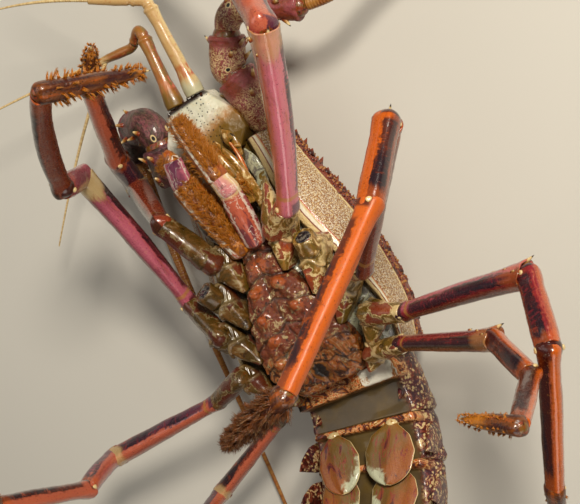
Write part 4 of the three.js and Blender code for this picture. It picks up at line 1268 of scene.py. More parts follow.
@painted(0.42, 0.2)
def fan_shell(paint):
    """Tail fan: hard mottled roots and softer orange-brown blades with fine rays."""
    _, edge, share = paint.round
    ray = paint.noise(paint.lie.scaled(1, 1, 0.03), 900, 3)
    marble = paint.noise(paint.lie, 300, 5, 0.65, 0.8)
    hard = (share + (marble - 0.5) * 0.2).under(0.36, 0.44)
    paint.layers(
        "rust",
        (ray.over(0.45, 0.6), "orange"),
        (share.over(0.75, 0.95) * 0.7, "maroon"),
        (hard, "maroon"),
        (hard * marble.over(0.5, 0.6), "brick"),
        (hard * marble.over(0.62, 0.68), "cream"),
        (edge.over(0.95, 0.98), "tan"),
    )
    paint.bump(ray + marble * 0.4, 0.3)


@functools.cache
def bristle_shell(name, root, tip):
    """Stiff bristles, darker at the root."""
    paint = Paint(name, 0.34)
    height = paint.guide("tip")
    tone = paint.guide("tone")
    paint.layers(
        root,
        ((height + tone * 0.7).over(0.1, 0.8), tip),
        ((height + tone).over(1.3, 1.8) * 0.25, "cream"),
    )
    return paint.material


@painted(0.42, 0.2)
def antenna_shell(paint, side):
    """Antenna bases: mauve-brown with a fine cream net on the left one and black dots; the right one is
    painted darker, as shade.
    """
    _, _, share = paint.round
    warp = paint.noise(paint.lie, 420, 5, 0.7, 1.4)
    fine = paint.noise(paint.lie, 1300, 4, 0.7)
    cloud = paint.noise(paint.lie, 110, 4, 0.6, 1.0)
    dots = paint.cells(paint.lie, 120)
    # Painted shade on the right base: an umber ground, more umber flecks, fewer salmon patches and a faint
    # net.
    ground, net, shade, glow = ("rust", 0.95, 0.3, 0.4) if side == "left" else ("umber", 0.1, 0.8, 0.1)
    paint.layers(
        ground,
        (cloud.over(0.4, 0.6) * 0.4, "mauve"),
        (fine.over(0.46, 0.62) * shade, "umber"),
        (cloud.over(0.62, 0.72) * glow, "salmon"),
        (warp.over(0.56, 0.7) * 0.3, "wine"),
        (warp.band(0.5, 0.036) * share.under(0.55, 0.75) * net, "cream"),
        (dots.under(0.16, 0.19), "cream"),
        (dots.under(0.11, 0.14), "black"),
    )
    paint.bump(warp + fine * 0.4, 0.5)


@painted(0.38, 0.2)
def whip_shell(paint):
    """The long antennae: orange-tan rings with faint darker bands."""
    ring = paint.noise(paint.lie.scaled(0.2, 0.2, 1), 900, 2)
    long = paint.noise(paint.lie.scaled(0.1, 0.1, 1), 40, 3)
    paint.layers("tan", (ring.over(0.4, 0.6) * 0.6, "rust"), (long.over(0.45, 0.7) * 0.7, "gold"))
    paint.bump(ring, 0.2)


@painted(0.36, 0.25)
def stalk_shell(paint, side):
    """Antennule stalks: pale cream with reddish flecks on the left one, brown-olive on the right one."""
    _, sin, share = paint.round
    _, _, far = paint.lie.parts()
    mottle = paint.noise(paint.lie.scaled(1, 1, 0.25), 420, 4, 0.6, 0.8)
    fleck = paint.noise(paint.lie, 800, 4, 0.7)
    root = (far * 1000 + (mottle - 0.5) * 8).under(3, 9)
    brown = (share + (mottle - 0.5) * 0.3).under(0.9, 0.98) if side == "right" else root * 0
    paint.layers(
        "cream",
        (brown * 0.95, "olive"),
        (brown * mottle.over(0.42, 0.56), "rust"),
        (brown * mottle.over(0.58, 0.66) * 0.7, "tan"),
        (fleck.over(0.56, 0.66) * 0.7, "salmon"),
        ((far * 1000).band(11, 4) * mottle.over(0.4, 0.5), "salmon"),
        ((sin * -1 + (mottle - 0.5)).over(0.2, 0.9) * 0.6, "tan"),
        (root * (1 - brown) * 0.8, "sea"),
        (root * brown * 0.8, "olive"),
    )
    paint.bump(mottle, 0.25)


@painted(0.3, 0.45)
def shield_shell(paint):
    """The head shield: cream-grey with black dots in its middle and a dark front edge, and painted shade over
    its rear, under the mouth parts.
    """
    place = paint.place
    dots = paint.cells(place, 620)
    wide, far, _ = place.parts()
    fine = paint.noise(place, 600, 5, 0.7)
    cloud = paint.noise(place, 90, 4, 0.6, 0.8)
    paint.layers(
        "white",
        (cloud.over(0.4, 0.6) * 0.6, "sea"),
        (fine.over(0.52, 0.7) * 0.5, "cream"),
        (cloud.over(0.64, 0.74) * 0.6, "olive"),
        # Painted shade: tan and olive over the rear of the shield, under the mouth parts.
        ((far * 1000 + (fine - 0.5) * 12 - wide * 250).under(58, 66), "tan"),
        ((far * 1000 + (cloud - 0.5) * 12 - wide * 250).under(54, 62) * 0.9, "olive"),
        (dots.under(0.2, 0.26) * (10 - abs(wide * 1000 - 4)).over(0, 4), "black"),
        (paint.guide("mark"), "umber"),
    )
    paint.bump(fine, 0.35)


@painted(0.22, 0.5)
def tooth_shell(paint):
    """Jaws: white, yellow towards their roots."""
    fine = paint.noise(paint.place, 260, 4)
    paint.layers("white", (fine.over(0.45, 0.65), "cream"), (fine.over(0.62, 0.75), "gold"))
    paint.bump(fine, 0.3)


@painted(0.12, 1.0, coat_roughness=0.03)
def eye_gloss(paint):
    """The black eye, with a faint brown net."""
    net = paint.cells(paint.place, 2200)
    paint.layers("black", (net.over(0.3, 0.7) * 0.15, "umber"))
    paint.bump(net, 0.03)


@painted(0.75, specular=0.3)
def floor_paint(paint):
    """The pale floor."""
    paint.layers("floor", (paint.noise(paint.place, 3, 2).over(0.3, 0.8) * 0.4, "floor_light"))


@painted(0.22, 0.5)
def scar_skin(paint):
    """The dark cut faces of the lost legs."""
    fine = paint.noise(paint.place, 700, 4)
    paint.layers("navy", (fine.over(0.45, 0.6), "grey"), (fine.over(0.62, 0.7) * 0.5, "tan"))
    paint.bump(fine, 0.3)


@painted(0.3, 0.3)
def horn_dark(paint):
    """Short dark points."""
    paint.layers("umber", (paint.noise(paint.place, 900, 3).over(0.5, 0.7), "rust"))


@painted(0.32, 0.35)
def palp_shell(paint):
    """The jaws' palps: orange with a pale line."""
    cos, _, _ = paint.round
    fine = paint.noise(paint.place, 500, 4)
    paint.layers("orange", (fine.over(0.45, 0.7), "rust"), (cos.band(0.3, 0.3) * 0.6, "cream"))
    paint.bump(fine, 0.2)


@painted(0.4, 0.2)
def feeler_shell(paint):
    """The straw-coloured fine whips of the antennules."""
    ring = paint.noise(paint.lie.scaled(0.2, 0.2, 1), 700, 2)
    paint.layers("cream", (ring.over(0.4, 0.6) * 0.5, "tan"), (ring.over(0.62, 0.7) * 0.6, "sea"))


@painted(0.24, 0.5)
def lobe_shell(paint):
    """The small inner mouth parts: olive-gold with pale edges."""
    fine = paint.noise(paint.place, 230, 5, 0.65, 0.8)
    paint.layers(
        "olive",
        (fine.over(0.4, 0.55) * 0.8, "tan"),
        (fine.over(0.54, 0.62), "cream"),
        (fine.over(0.64, 0.7) * 0.6, "mauve"),
        (fine.under(0.34, 0.42), "umber"),
    )
    paint.bump(fine, 0.35)


@functools.cache
def mouth_shell(name, ground, lit):
    """The bare pieces of the mouth legs: red, mauve or white, with white outlines and purple streaks."""
    paint = Paint(name, 0.28, 0.45)
    cos, sin, share = paint.round
    streak = paint.noise(paint.lie.scaled(1, 1, 0.15), 420, 4, 0.6, 0.6)
    fleck = paint.noise(paint.lie, 500, 5, 0.7, 0.8)
    wide = paint.noise(paint.lie, 170, 4, 0.6, 0.6)
    paint.layers(
        ground,
        ((cos + (wide - 0.5) * 1.5).over(0.3, 0.9) * 0.85, lit),
        (fleck.over(0.54, 0.66) * 0.6, "wine"),
        (streak.over(0.55, 0.65) * 0.7, "purple"),
        (wide.band(0.44, 0.014) * 0.5, "white"),
        ((abs(sin) + (wide - 0.5) * 0.9).band(0.8, 0.11) * 0.55, "white"),
        ((share + (fleck - 0.5) * 0.1).over(0.9, 0.96) * 0.6, "cream"),
    )
    paint.bump(streak, 0.2)
    return paint.material


@painted(0.32, 0.35)
def brush_root(paint):
    """The bristly pieces of the mouth legs: golden brown with a pale stripe along one edge."""
    _, sin, _ = paint.round
    fleck = paint.noise(paint.lie, 420, 5, 0.7, 0.6)
    streak = paint.noise(paint.lie.scaled(1, 1, 0.3), 520, 4, 0.6, 0.6)
    stripe = (sin * -1 + (fleck - 0.5) * 0.4).band(0.66, 0.2)
    paint.layers(
        "ginger",
        (fleck.over(0.44, 0.6) * 0.8, "gold"),
        (streak.over(0.5, 0.62) * 0.6, "wine"),
        (sin.over(0.3, 0.8) * 0.35, "orange"),
        (stripe * 0.9, "white"),
        (stripe * fleck.over(0.52, 0.6), "salmon"),
    )
    paint.bump(fleck + streak, 0.4)


# Limbs

VIEWED = heading(CAMERA_AZIMUTH - 90, CAMERA_ELEVATION)
SIDES = 32
SHELL, SKIN, PALE, THORN, BASE, LAST = range(6)
BRISTLE = [(0, 1), (0.35, 0.9), (0.7, 0.6), (1, 0)]


def signed(side):
    """1 for the animal's left and -1 for its right."""
    return 1 if side == "left" else -1


def placed(point, side, shift=(0, 0, 0)):
    """A point that is given for the left side, shifted there, on this side."""
    x, y, z = np.add(point, shift)
    return np.array([signed(side) * x, y, z], float)


def leg(pair, side):
    """A leg's radius, its root, joints and tip, and the ways of its pieces."""
    radius, *pieces = LEGS[pair, side]
    joints = [placed(COXAE[pair][3], side)]
    for length, azimuth, elevation in pieces:
        joints.append(joints[-1] + heading(azimuth, elevation) * length)
    return radius, joints, ways_between(joints)


def ways_between(joints):
    """The way from each joint to the next."""
    return [unit(b - a) for a, b in zip(joints, joints[1:])]


def article(
    form, start, end, radius, shape, finish, following=None, flat=0.93, lift=0.0, head=0.8, bow=0.0, flare=0.0
):
    """One shell tube of a limb. Its near end is a round head inside the joint, and its far end is a
    rim that is cut back where the following piece folds in and has a lobe on each side of it."""
    way = unit(end - start)
    start = start - way * head * radius
    length = np.linalg.norm(end - start)
    face, across = square_to(way, VIEWED)
    turn = around(SIDES)
    size_at = reading(shape)
    dome = 0.72 * radius * size_at(0)
    tip = following is None
    fold = np.zeros(3) if tip else following - way * (following @ way)
    bend = 0 if tip else math.acos(np.clip(following @ way, -1, 1))
    folded = bend > 0.05
    steep = min(1.3, math.tan(bend / 2))
    reach = length - (0 if tip else 0.25 * radius * steep)
    curve = np.linspace(0.12, math.pi / 2, 8)
    shaft = np.linspace(dome, reach - 0.4, max(8, int((reach - dome) / 1.2)))
    along = np.concatenate([dome * (1 - np.cos(curve)), shaft[1:]])
    swell = size_at(along / length) * (1 + 0.14 * ease(2.2 * radius, 0.6 * radius, along))
    swell[:8] *= np.sin(curve)
    if not tip:
        rim = span("rim") / radius
        swell = swell + 0.2 * rim * hump(reach - 1.0, 1.3, along) - 0.2 * rim * hump(reach - 3.2, 1.6, along)
        swell = swell - 0.09 * (1 - flare) * ease(reach - 2.6, reach, along)
        along = np.concatenate([along, reach + np.array([0, 0, -1.8])])
        swell = np.concatenate([swell, swell[-1] + np.array([0.2 * rim, -rim, -1.4 * rim])])
    cos, sin = np.cos(turn), np.sin(turn)
    toward = cos * (unit(fold) @ face) + sin * (unit(fold) @ across) if folded else 0 * cos
    lobes = (1 - toward**2) ** 3 * folded
    corner = np.maximum(-toward, 0) ** 2 * folded
    back = -0.42 * np.maximum(toward, 0) * steep + 0.2 * flare * lobes + 0.14 * flare * corner
    far = along[:, None] + back * radius * ease(length - 2.2 * radius, length, along)[:, None]
    flaring = ease(length - 3 * radius, length - 0.4 * radius, along)[:, None]
    rho = (swell * radius)[:, None] * (1 + 0.13 * flare * corner * flaring)
    ridge = 1 + 0.075 * np.cos(3 * turn + 0.5) + 0.02 * np.cos(5 * turn) + 0.01 * np.cos(9 * turn)
    aside = sin * rho * ridge * flat + bow * 4 * (far / length) * (1 - far / length)
    rings = start + way * far[..., None] + across * aside[..., None] + face * (cos * rho * ridge)[..., None]
    guides = limb_guides(turn, rho, along, along / length)
    guides["lie"] = guides["lie"] + (0, 0, lift * MM)
    skin = lumpy(lofted(rings), (0.04 * radius, 2.2 * radius, 3), (0.02 * radius, 1.4, 5))
    form.add(skin, finish, **guides)


def joint(form, at, into, out, radius, finish=SKIN):
    """The soft skin and the two bearings of a joint."""
    hinge = np.cross(into, out)
    if np.linalg.norm(hinge) < 0.1:
        hinge = np.cross(into, VIEWED)
    hinge = unit(hinge)
    middle = unit(into + out)
    axes = [middle, np.cross(hinge, middle), hinge]
    skin = ball(at, (0.88 * radius, 0.84 * radius, 0.86 * radius), 28, axes)
    form.add(lumpy(skin, (0.03 * radius, 0.3 * radius)), finish)
    for s in (1, -1):
        knob = (0.22 * radius, 0.2 * radius, 0.13 * radius)
        bearing = ball(at + hinge * s * 0.9 * radius, knob, 16, axes)
        form.add(lumpy(bearing, (0.05 * radius, 0.2 * radius)), PALE)


def rod(form, finish, path, widths, sides, flat=1.0, first_side=(1, 0, 0), lumps=()):
    """A limb with a round or flattened section along a path."""
    rings, guides = swept(path, widths, flat * widths, sides, first_side)
    form.add(lumpy(lofted(rings), *lumps), finish, **guides)


def thorn(form, root, way, length, radius, finish=THORN):
    """A round spine."""
    root, way = np.asarray(root, float), unit(way)
    path = bezier(root - way * 0.3 * length, root + way * 0.55 * length, root + way * length, 9)
    rod(form, finish, path, radius * (1.02 - shares(path)) ** 0.8, 10, 1, np.cross(way, (0.3, 0.5, 0.8)))


def coxa(form, pair, side):
    """A leg's base: a wedge of shell with a raised rim, and soft skin beyond it."""
    rear, front, width, _ = COXAE[pair]
    start, stop = (placed((x, y, 0), side) for x, y, _ in (rear, front))
    forward = unit(stop - start)
    outward = signed(side) * np.array([forward[1], -forward[0], 0])
    length = np.linalg.norm(stop - start) + 4
    along = np.linspace(0, length, 14)
    half = np.interp(along, [0, 0.3 * length, 0.7 * length, length - 3, length], [0.22, 0.62, 0.94, 1, 0.8])
    half = half * width / 2
    top = rear[2] + (front[2] - rear[2]) * along / length
    rings = []
    for far, wide, high in zip(along, half, top):
        section = [(-1, 45.4), (-1, high - 4), (-0.6, high - 0.8), (0.5, high)]
        section += [(1, high - 3), (1, 51), (0.2, 48.4)]
        rings.append([start + forward * far + outward * q * wide + (0, 0, z) for q, z in section])
    skin = melted([lofted(rings)], 0.55, 9)
    points = skin[0]
    far = (points - start) @ forward
    wide = (points - start) @ outward
    upper = ease(-7, -2, points[:, 2] - np.interp(far, along, top))
    rim_at = 0.56 * length + 1.6 * np.cos(wide * 0.5)
    rim = hump(rim_at, 1.5, far) * upper
    soft = ease(rim_at + 0.3, rim_at + 1.3, far) * (1 - ease(length - 2.6, length - 1.4, far)) * upper
    folds = 0.18 * np.sin((far - 0.15 * wide**2) * 2.6)
    lump = 0.45 * swells(points, 5.5, pair) + 0.16 * swells(points, 1.7, pair)
    edge = hump(length - 1.2, 1.4, far) * upper
    skin = raised(skin, lump * (1 - soft) + 0.9 * rim + soft * (folds - 1.0) + 0.5 * edge)
    place = np.stack([wide, points[:, 2], far], -1) + (13 * pair + (41 if side == "right" else 0))
    form.add(skin, BASE, lie=place * MM, soft=soft, mark=np.maximum(rim, edge) * 0.8)


# Ground, painted lit side, dark stripe, where round the limb the last two lie, and how plain the pale window
# is, for the merus, the carpus and the propodus of each leg
LIMB_FINISHES = {
    (1, "left"): (
        ("salmon", "rose", "purple", 34, 84, 0.3, 0.7),
        ("crimson", "salmon", "purple", 0, 80, 0),
        ("rust", "salmon", "purple", 0, 80, 0),
    ),
    (1, "right"): (
        ("rust", "brick", "umber", 30, -60, 0.8),
        ("wine", "purple", "maroon", 10, 80, 0),
        ("rust", "salmon", "maroon", 0, 60, 0),
    ),
    (3, "left"): (
        ("wine", "rust", "maroon", 30, -80, 0),
        ("rust", "orange", "navy", 50, -8, 0),
        # On this propodus the maroon stripe is painted shade along its shaded side.
        ("orange", "orange", "maroon", 0, 60, 0, 0.15),
    ),
    (3, "right"): (
        ("crimson", "mauve", "maroon", 20, 80, 1),
        ("mauve", "rose", "purple", 20, 60, 0),
        ("maroon", "rust", "umber", 50, -40, 0, 0.45),
    ),
    (4, "left"): (
        ("crimson", "mauve", "navy", -80, -22, 0),
        ("crimson", "orange", "navy", -82, 45, 0),
        ("maroon", "orange", "maroon", -46, 60, 0),
    ),
    (4, "right"): (
        ("crimson", "salmon", "purple", -25, 44, 0.6),
        ("mauve", "salmon", "purple", 0, 60, 0, 0.6),
        ("salmon", "salmon", "maroon", 0, 74, 0, 0.6),
    ),
    (5, "left"): (
        ("wine", "crimson", "navy", -55, 0, 0.15),
        ("wine", "orange", "maroon", -80, 20, 0),
        ("maroon", "orange", "maroon", -46, 60, 0),
    ),
    (5, "right"): (
        ("rust", "salmon", "maroon", -10, 50, 0.6),
        ("rust", "salmon", "purple", 0, 70, 0),
        ("salmon", "orange", "purple", 20, 90, 0),
    ),
}


def leg_finishes(first, *others):
    """The finishes of a leg piece, in the order of the finish numbers."""
    return [first, joint_skin(), cream_shell(), thorn_shell(), base_shell(), *others]


def leg_shells(pair, side, *parts):
    """The shells of a leg's merus, carpus or propodus."""
    for part in parts:
        colours = LIMB_FINISHES[pair, side][("merus", "carpus", "propodus").index(part)]
        yield limb_shell(f"leg_{pair}_{side}_{part}_shell", part == "merus", *colours)


def leg_upper(pair, side):
    """Coxa, ischium and merus."""
    form = Form()
    radius, joints, ways = leg(pair, side)
    coxa(form, pair, side)
    article(form, joints[0], joints[1], radius, ISCHIUM_SHAPE, BASE, ways[1], lift=11 * pair, head=0.9)
    joint(form, joints[0], ways[0], ways[0], radius)
    joint(form, joints[1], ways[0], ways[1], 0.92 * radius)
    bow = BOWS.get((pair, side), STRAIGHT)[0]
    article(form, joints[1], joints[2], radius, MERUS_SHAPE, SHELL, ways[2], lift=40 * pair, bow=bow, flare=1)
    knee_spines(form, joints[2], ways[1], unit(ways[1] - ways[2]), radius)
    if pair == 1:
        root = COXAE[1][3]
        start, end = placed(root, side, (0, 0, 1)), placed(root, side, (9.5, 21, 7))
        article(form, start, end, 6, TOOTH_SHAPE, BASE, lift=71, head=0.0)
    form.stand_in(f"leg_{pair}_{side}_upper", leg_finishes(*leg_shells(pair, side, "merus")))


def knee_spines(form, knee, way, outer, radius):
    """The spines round the far end of a merus."""
    outer, beside = square_to(way, outer)
    for along, turn, length, wide in (
        (0.6, 0, 6.0, 1.5), (2.2, -12, 2.6, 1.0), (0.7, 78, 1.8, 0.8), (0.7, -78, 1.8, 0.8),
        (1.7, 48, 1.2, 0.7), (1.6, -50, 1.2, 0.7), (3.4, 10, 1.4, 0.7),
    ):
        away = turned(outer, beside, math.radians(turn))
        thorn(form, knee - way * along * radius + away * 0.98 * radius, way + 0.4 * away, length, wide)


def leg_lower(pair, side):
    """Knee, carpus and propodus."""
    form = Form()
    radius, joints, ways = leg(pair, side)
    _, carpus_bow, propodus_bow = BOWS.get((pair, side), STRAIGHT)
    joint(form, joints[2], ways[1], ways[2], 0.98 * radius)
    article(form, joints[2], joints[3], radius, CARPUS_SHAPE, SHELL, ways[3], lift=17, bow=carpus_bow)
    joint(form, joints[3], ways[2], ways[3], 1.08 * radius, LAST)
    article(form, joints[3], joints[4], radius, PROPODUS_SHAPE, LAST, ways[4], lift=63, bow=propodus_bow)
    finishes = leg_finishes(*leg_shells(pair, side, "carpus", "propodus"))
    form.stand_in(f"leg_{pair}_{side}_lower", finishes)


def leg_dactyl(pair, side):
    """The last leg piece, with its horny tip and its bristles in tufts."""
    form = Form()
    radius, joints, ways = leg(pair, side)
    joint(form, joints[4], ways[3], ways[4], 0.76 * radius)
    article(form, joints[4], joints[5] - ways[4] * 3, radius, DACTYL_SHAPE, SHELL, lift=90, head=0.55)
    thorn(form, joints[5] - ways[4] * 4, ways[4], 4, 0.2 * radius)
    name = f"leg_{pair}_{side}_dactyl"
    form.stand_in(name, leg_finishes(dactyl_shell("front" if pair < 4 else "rear")))
    long = span("bristle") * TUFT_LENGTHS.get((pair, side), 0.6 if pair == 1 else 0.4)
    if (pair, side) == FURRY_LEG:
        finish = bristle_shell("fur_shell", "umber", "ginger")
        rows, pitch, loose = 12, 1.7, 0.7
    else:
        finish = bristle_shell("tuft_shell", "rust", "gold")
        rows, pitch, loose = (8, 2.4, 0.36) if pair < 4 else (5, 2.8, 0.36)
    limb = (joints[4], joints[5], ways[3], radius, DACTYL_SHAPE)
    tufts(name + "_bristles", limb, 360, rows, pitch, long, finish, 7 * pair + signed(side), loose)


def tufts(name, limb, arc, rows, pitch, long, finish, seed, loose):
    """Bristles in pointed tufts, in rows over an arc of a limb that is centred on one way out."""
    start, end, toward, radius, shape = limb
    draw = np.random.default_rng(seed + 20)
    way = unit(end - start)
    length = np.linalg.norm(end - start)
    out, over = square_to(way, toward)
    size_at = reading(shape)
    each = 10 if loose == 1 else 16
    places, leans, reaches, homes = [], [], [], []
    for row in range(rows):
        for at in np.arange(0.08 * length + pitch * (row % 2) / 2, 0.97 * length, pitch):
            share = (at + draw.normal(0, 0.4)) / length
            turn = math.radians(arc) * ((row + 0.5) / rows - 0.5) + draw.normal(0, 0.12)
            away = turned(out, over, turn)
            if arc == 360 and rows < 10 and away @ VIEWED > 0.55 and draw.uniform() < 0.7:
                continue
            beside = np.cross(way, away)
            root = start + way * share * length + away * radius * float(size_at(share)) * 0.86
            reach = long * (1 - 0.45 * share) * draw.uniform(0.65, 1.15)
            tip = root + unit(away + (0.3 + 0.7 * loose) * way + 0.22 * draw.normal(0, 1, 3)) * reach
            offsets = draw.normal(0, 1, (each, 1)) * way + draw.normal(0, 1, (each, 1)) * beside
            spots = root + loose * offsets
            aims = tip + 0.7 * loose * draw.normal(0, 1, (each, 3)) - spots
            places.append(spots)
            leans.append(unit(aims))
            reaches.append(np.linalg.norm(aims, axis=1) * draw.uniform(0.7, 1.05, each))
            homes.append(np.tile([turn / (2 * math.pi) % 1, min(0.99, share), 0], (each, 1)))
    places, leans, homes = np.vstack(places), np.vstack(leans), np.vstack(homes)
    tones = draw.uniform(0, 1, len(places))
    bristle = tapered_shape("bristle", BRISTLE, 3, 0.5)
    sizes = span("bristle_girth"), np.concatenate(reaches)
    planted(name, bristle, finish, "bristles", seed + 5, places, leans, *sizes, homes, tones)


def stump(side):
    """The base of a lost leg: its coxa and a short ring with a dark cut face."""
    form = Form()
    coxa(form, 2, side)
    start = placed(COXAE[2][3], side, (0, -1, -1))
    way = unit((signed(side) * 1.5, 7, 5))
    face, across = square_to(way, VIEWED)
    path = start + way * np.array([0, 2, 4, 6, 8.2, 8.7, 8.7, 8.2])[:, None]
    radii = np.array([5.2, 5.5, 5.2, 5.3, 5.2, 4.9, 4.3, 3.6])[:, None]
    turn = around(SIDES)
    ring = face * np.cos(turn)[:, None] + across * np.sin(turn)[:, None]
    guides = limb_guides(turn, radii, np.linspace(0, 9, 8), np.linspace(0, 1, 8))
    form.add(lumpy(lofted(path[:, None] + ring * radii[:, None]), (0.35, 2.5)), BASE, **guides)
    form.add(lumpy(ball(start + way * 8.3, (3.9, 3.4, 0.9), 24, [face, across, way]), (0.3, 1.4)), LAST)
    form.stand_in(f"leg_2_stump_{side}", leg_finishes(cream_shell(), scar_skin()))


# Breastplate, carapace and head


def breastplate():
    """The sternum, with a pair of bosses on each segment and grooves between."""
    form = Form()
    skin = node_skin("sternum", 0.6, 3)
    points = skin[0]
    x, y = np.abs(points[:, 0]), points[:, 1]
    half = reading(STERNUM)(y)
    boss = np.zeros(len(points))
    for across, at in ((0.5, -12), (0.5, -24), (0.45, -34), (0.55, -44), (0.4, -54), (0.1, -2), (0.1, 8)):
        boss = np.maximum(boss, 1 - np.hypot(x - across * half, (y - at) * 1.1) / 5.2)
    groove = 0.7 * hump(0, 0.9, points[:, 0] + 1.2 * swells(points, 5, 8))
    for at in (4, -6, -18, -29, -39, -49):
        groove = np.maximum(groove, hump(at - 0.3 * x, 0.9, y + 1.4 * swells(points, 4, 9)))
    upper = ease(52, 56, points[:, 2])
    grain = 0.7 * (0.6 - pebbles(points, 3.2, 6))
    bumps = 1.5 * ease(0, 0.9, boss) + 0.6 * swells(points, 3.2, 4) + grain + 0.25 * swells(points, 1.1, 5)
    form.add(raised(skin, (bumps - groove) * upper), 0, mark=ease(0.05, 0.7, boss), soft=groove * upper)
    form.make("breastplate", [sternum_shell()], ["sternum"])


def flank(half, open_, margin, back):
    """One side of the carapace in section, from the margin round to the middle of the back."""
    upper = np.radians(np.linspace(90, 0, 20))
    lower = np.radians(np.linspace(0, 90, 36)[1:])
    xs = np.concatenate([open_ + (half - open_) * np.cos(upper), half * np.cos(lower) ** ROUNDNESS])
    above = WIDEST_HEIGHT + (margin - WIDEST_HEIGHT) * np.sin(upper)
    below = WIDEST_HEIGHT - (WIDEST_HEIGHT - back) * np.sin(lower) ** ROUNDNESS
    return np.stack([xs, np.concatenate([above, below])], -1)


def shell_part(places, section_at):
    """A closed body between sections, given for one side and mirrored."""
    rings = []
    for y in places:
        side = section_at(y)
        rings.append(np.insert(np.vstack([side, side[::-1] * (-1, 1)]), 1, y, axis=1))
    return lofted(rings)


def carapace_skin():
    """The carapace as one even skin, with room for the antennae beside the mouth."""
    columns = [reading(CARAPACE, k) for k in (1, 2, 3, 4)]

    def whole(y):
        half, open_, margin, back = (float(column(y)) for column in columns)
        channel = [(open_ - RIM - 2.5, margin - CHANNEL_DEPTH), (open_ - RIM, margin - 0.4)]
        return np.vstack([channel, flank(half, open_, margin, back)])

    def low(y):
        side = flank(*(float(column(y)) for column in columns))
        return np.stack([side[:, 0], np.minimum(side[:, 1], SOCKET_FLOOR)], -1)

    def middle(y):
        top = float(columns[2](y)) - CHANNEL_DEPTH
        return np.array([(SOCKET_SIDE, top), (SOCKET_SIDE, SOCKET_FLOOR - 4)], float)

    front = np.linspace(SOCKET_REAR - 1, CARAPACE_FRONT, 20)
    parts = [shell_part(np.linspace(CARAPACE_REAR, SOCKET_REAR, 100), whole)]
    parts += [shell_part(front, low), shell_part(front, middle)]
    for side in ("left", "right"):
        path = arched(*(placed(spot, side) for spot in HORN))
        far = lengths(path)
        wide = np.interp(far, [0, 9, 18, 27, far[-1]], [6, 5.2, 3.8, 2, 0.3])
        parts.append(lofted(swept(path, wide, 0.88 * wide, 20)[0]))
    points, faces = melted(parts, 0.75, 3)
    points[:, 2] = np.maximum(points[:, 2], 0)
    return points, faces


def carapace_guides(points):
    """How far down the flank each point is, from 0 at the margin to 22 at the widest line and 82 in
    the middle of the back, and whether it is inside."""
    y, z = points[:, 1], points[:, 2]
    open_, margin, back = (reading(CARAPACE, k)(y) for k in (2, 3, 4))
    up = np.arcsin(np.clip((z - WIDEST_HEIGHT) / (margin - WIDEST_HEIGHT), 0, 1))
    low = np.arcsin(np.clip((WIDEST_HEIGHT - z) / (WIDEST_HEIGHT - back), 0, 1) ** (1 / ROUNDNESS))
    down = np.where(z > WIDEST_HEIGHT, 22 * (1 - up / (math.pi / 2)), 22 + 60 * low / (math.pi / 2))
    inside = ease(0.2, 1.2, open_ - 0.4 - np.abs(points[:, 0])) * ease(38, 41, z)
    return down, inside


def forward_share(y):
    """How far forward on the carapace a place is, from 0 to 1."""
    return (y - CARAPACE_REAR) / (CARAPACE_FRONT - CARAPACE_REAR)


def carapace():
    """The carapace with its fine relief, its spines and its knobs."""
    form = Form()
    even = carapace_skin()
    down, inside = carapace_guides(even[0])
    back = ease(19, 23, down) * (1 - inside)
    lip = hump(1.6, 1.8, down) * (1 - inside)
    line = hump(19.8, 1.2, down) * (1 - inside)
    grain = back * 0.5 * (0.6 - pebbles(even[0], 2.6, 3))
    height = 0.35 * swells(even[0], 14, 2) + 0.25 * lip + 0.3 * line + grain
    skin = raised(even, height * ease(0.3, 2, even[0][:, 2]))
    form.add(skin, 0, mark=down, soft=inside)
    form.make("carapace_skin", [carapace_shell()], ["carapace"])
    _, y, z = skin[0].T
    places, ways, draw = sown(skin, back * ease(2, 5, z) * (1 - ease(64, 66, y) * 0.7), KNOBS, 5)
    forward = forward_share(places[:, 1])
    lean = unit(ways + np.array([0, 0.5, 0]) * np.clip(forward, 0.2, 1)[:, None])
    girth = span("knob") * draw.uniform(0.5, 1.1, KNOBS)
    tones = draw.uniform(0, 1, KNOBS)
    shape = tapered_shape("knob", [(0, 1.1), (0.3, 1), (0.6, 0.72), (0.85, 0.36), (1, 0)], 7, 0.3)
    roots = (places - 0.2 * ways, lean, girth, girth * (1 + forward), home_on_shell(places), tones)
    planted("carapace_knobs", shape, knob_shell(), "carapace_shell", 3, *roots)
    back_spines()


def home_on_shell(places):
    """A place on an unwrap of a body part that runs along Y."""
    turn = np.arctan2(places[:, 2] - WIDEST_HEIGHT, places[:, 0]) / (2 * np.pi)
    return np.stack([turn % 1, (places[:, 1] - CARAPACE_REAR) / 260 % 1, 0 * turn], -1)


def back_spines():
    """The larger spines in rows along both sides of the carapace."""
    half, back = reading(CARAPACE), reading(CARAPACE, 4)
    places, leans, reaches, girths = [], [], [], []
    for s, row, turn in ((s, row, math.radians(8 + 30 * row)) for s in (1, -1) for row in (0, 1)):
        for y in np.arange(-56 + 5 * row, 60, 11):
            z = WIDEST_HEIGHT - (WIDEST_HEIGHT - float(back(y))) * math.sin(turn) ** ROUNDNESS
            places.append((s * float(half(y)) * math.cos(turn) ** ROUNDNESS, y, z))
            leans.append((s * math.cos(turn), 0.75, -math.sin(turn)))
            forward = forward_share(y)
            reaches.append((0.45 + 0.55 * row) * (0.4 + 0.6 * forward) * span("spine"))
            girths.append(1.3 + 0.7 * forward)
    shape = tapered_shape("spine", [(-0.2, 1.1), (0.1, 1), (0.4, 0.66), (0.75, 0.3), (1, 0)], 12, 0.1)
    tones = np.linspace(0, 1, len(places))
    roots = (places, unit(leans), girths, reaches, home_on_shell(np.array(places)), tones)
    planted("carapace_spines", shape, knob_shell(), "carapace_shell", 4, *roots)


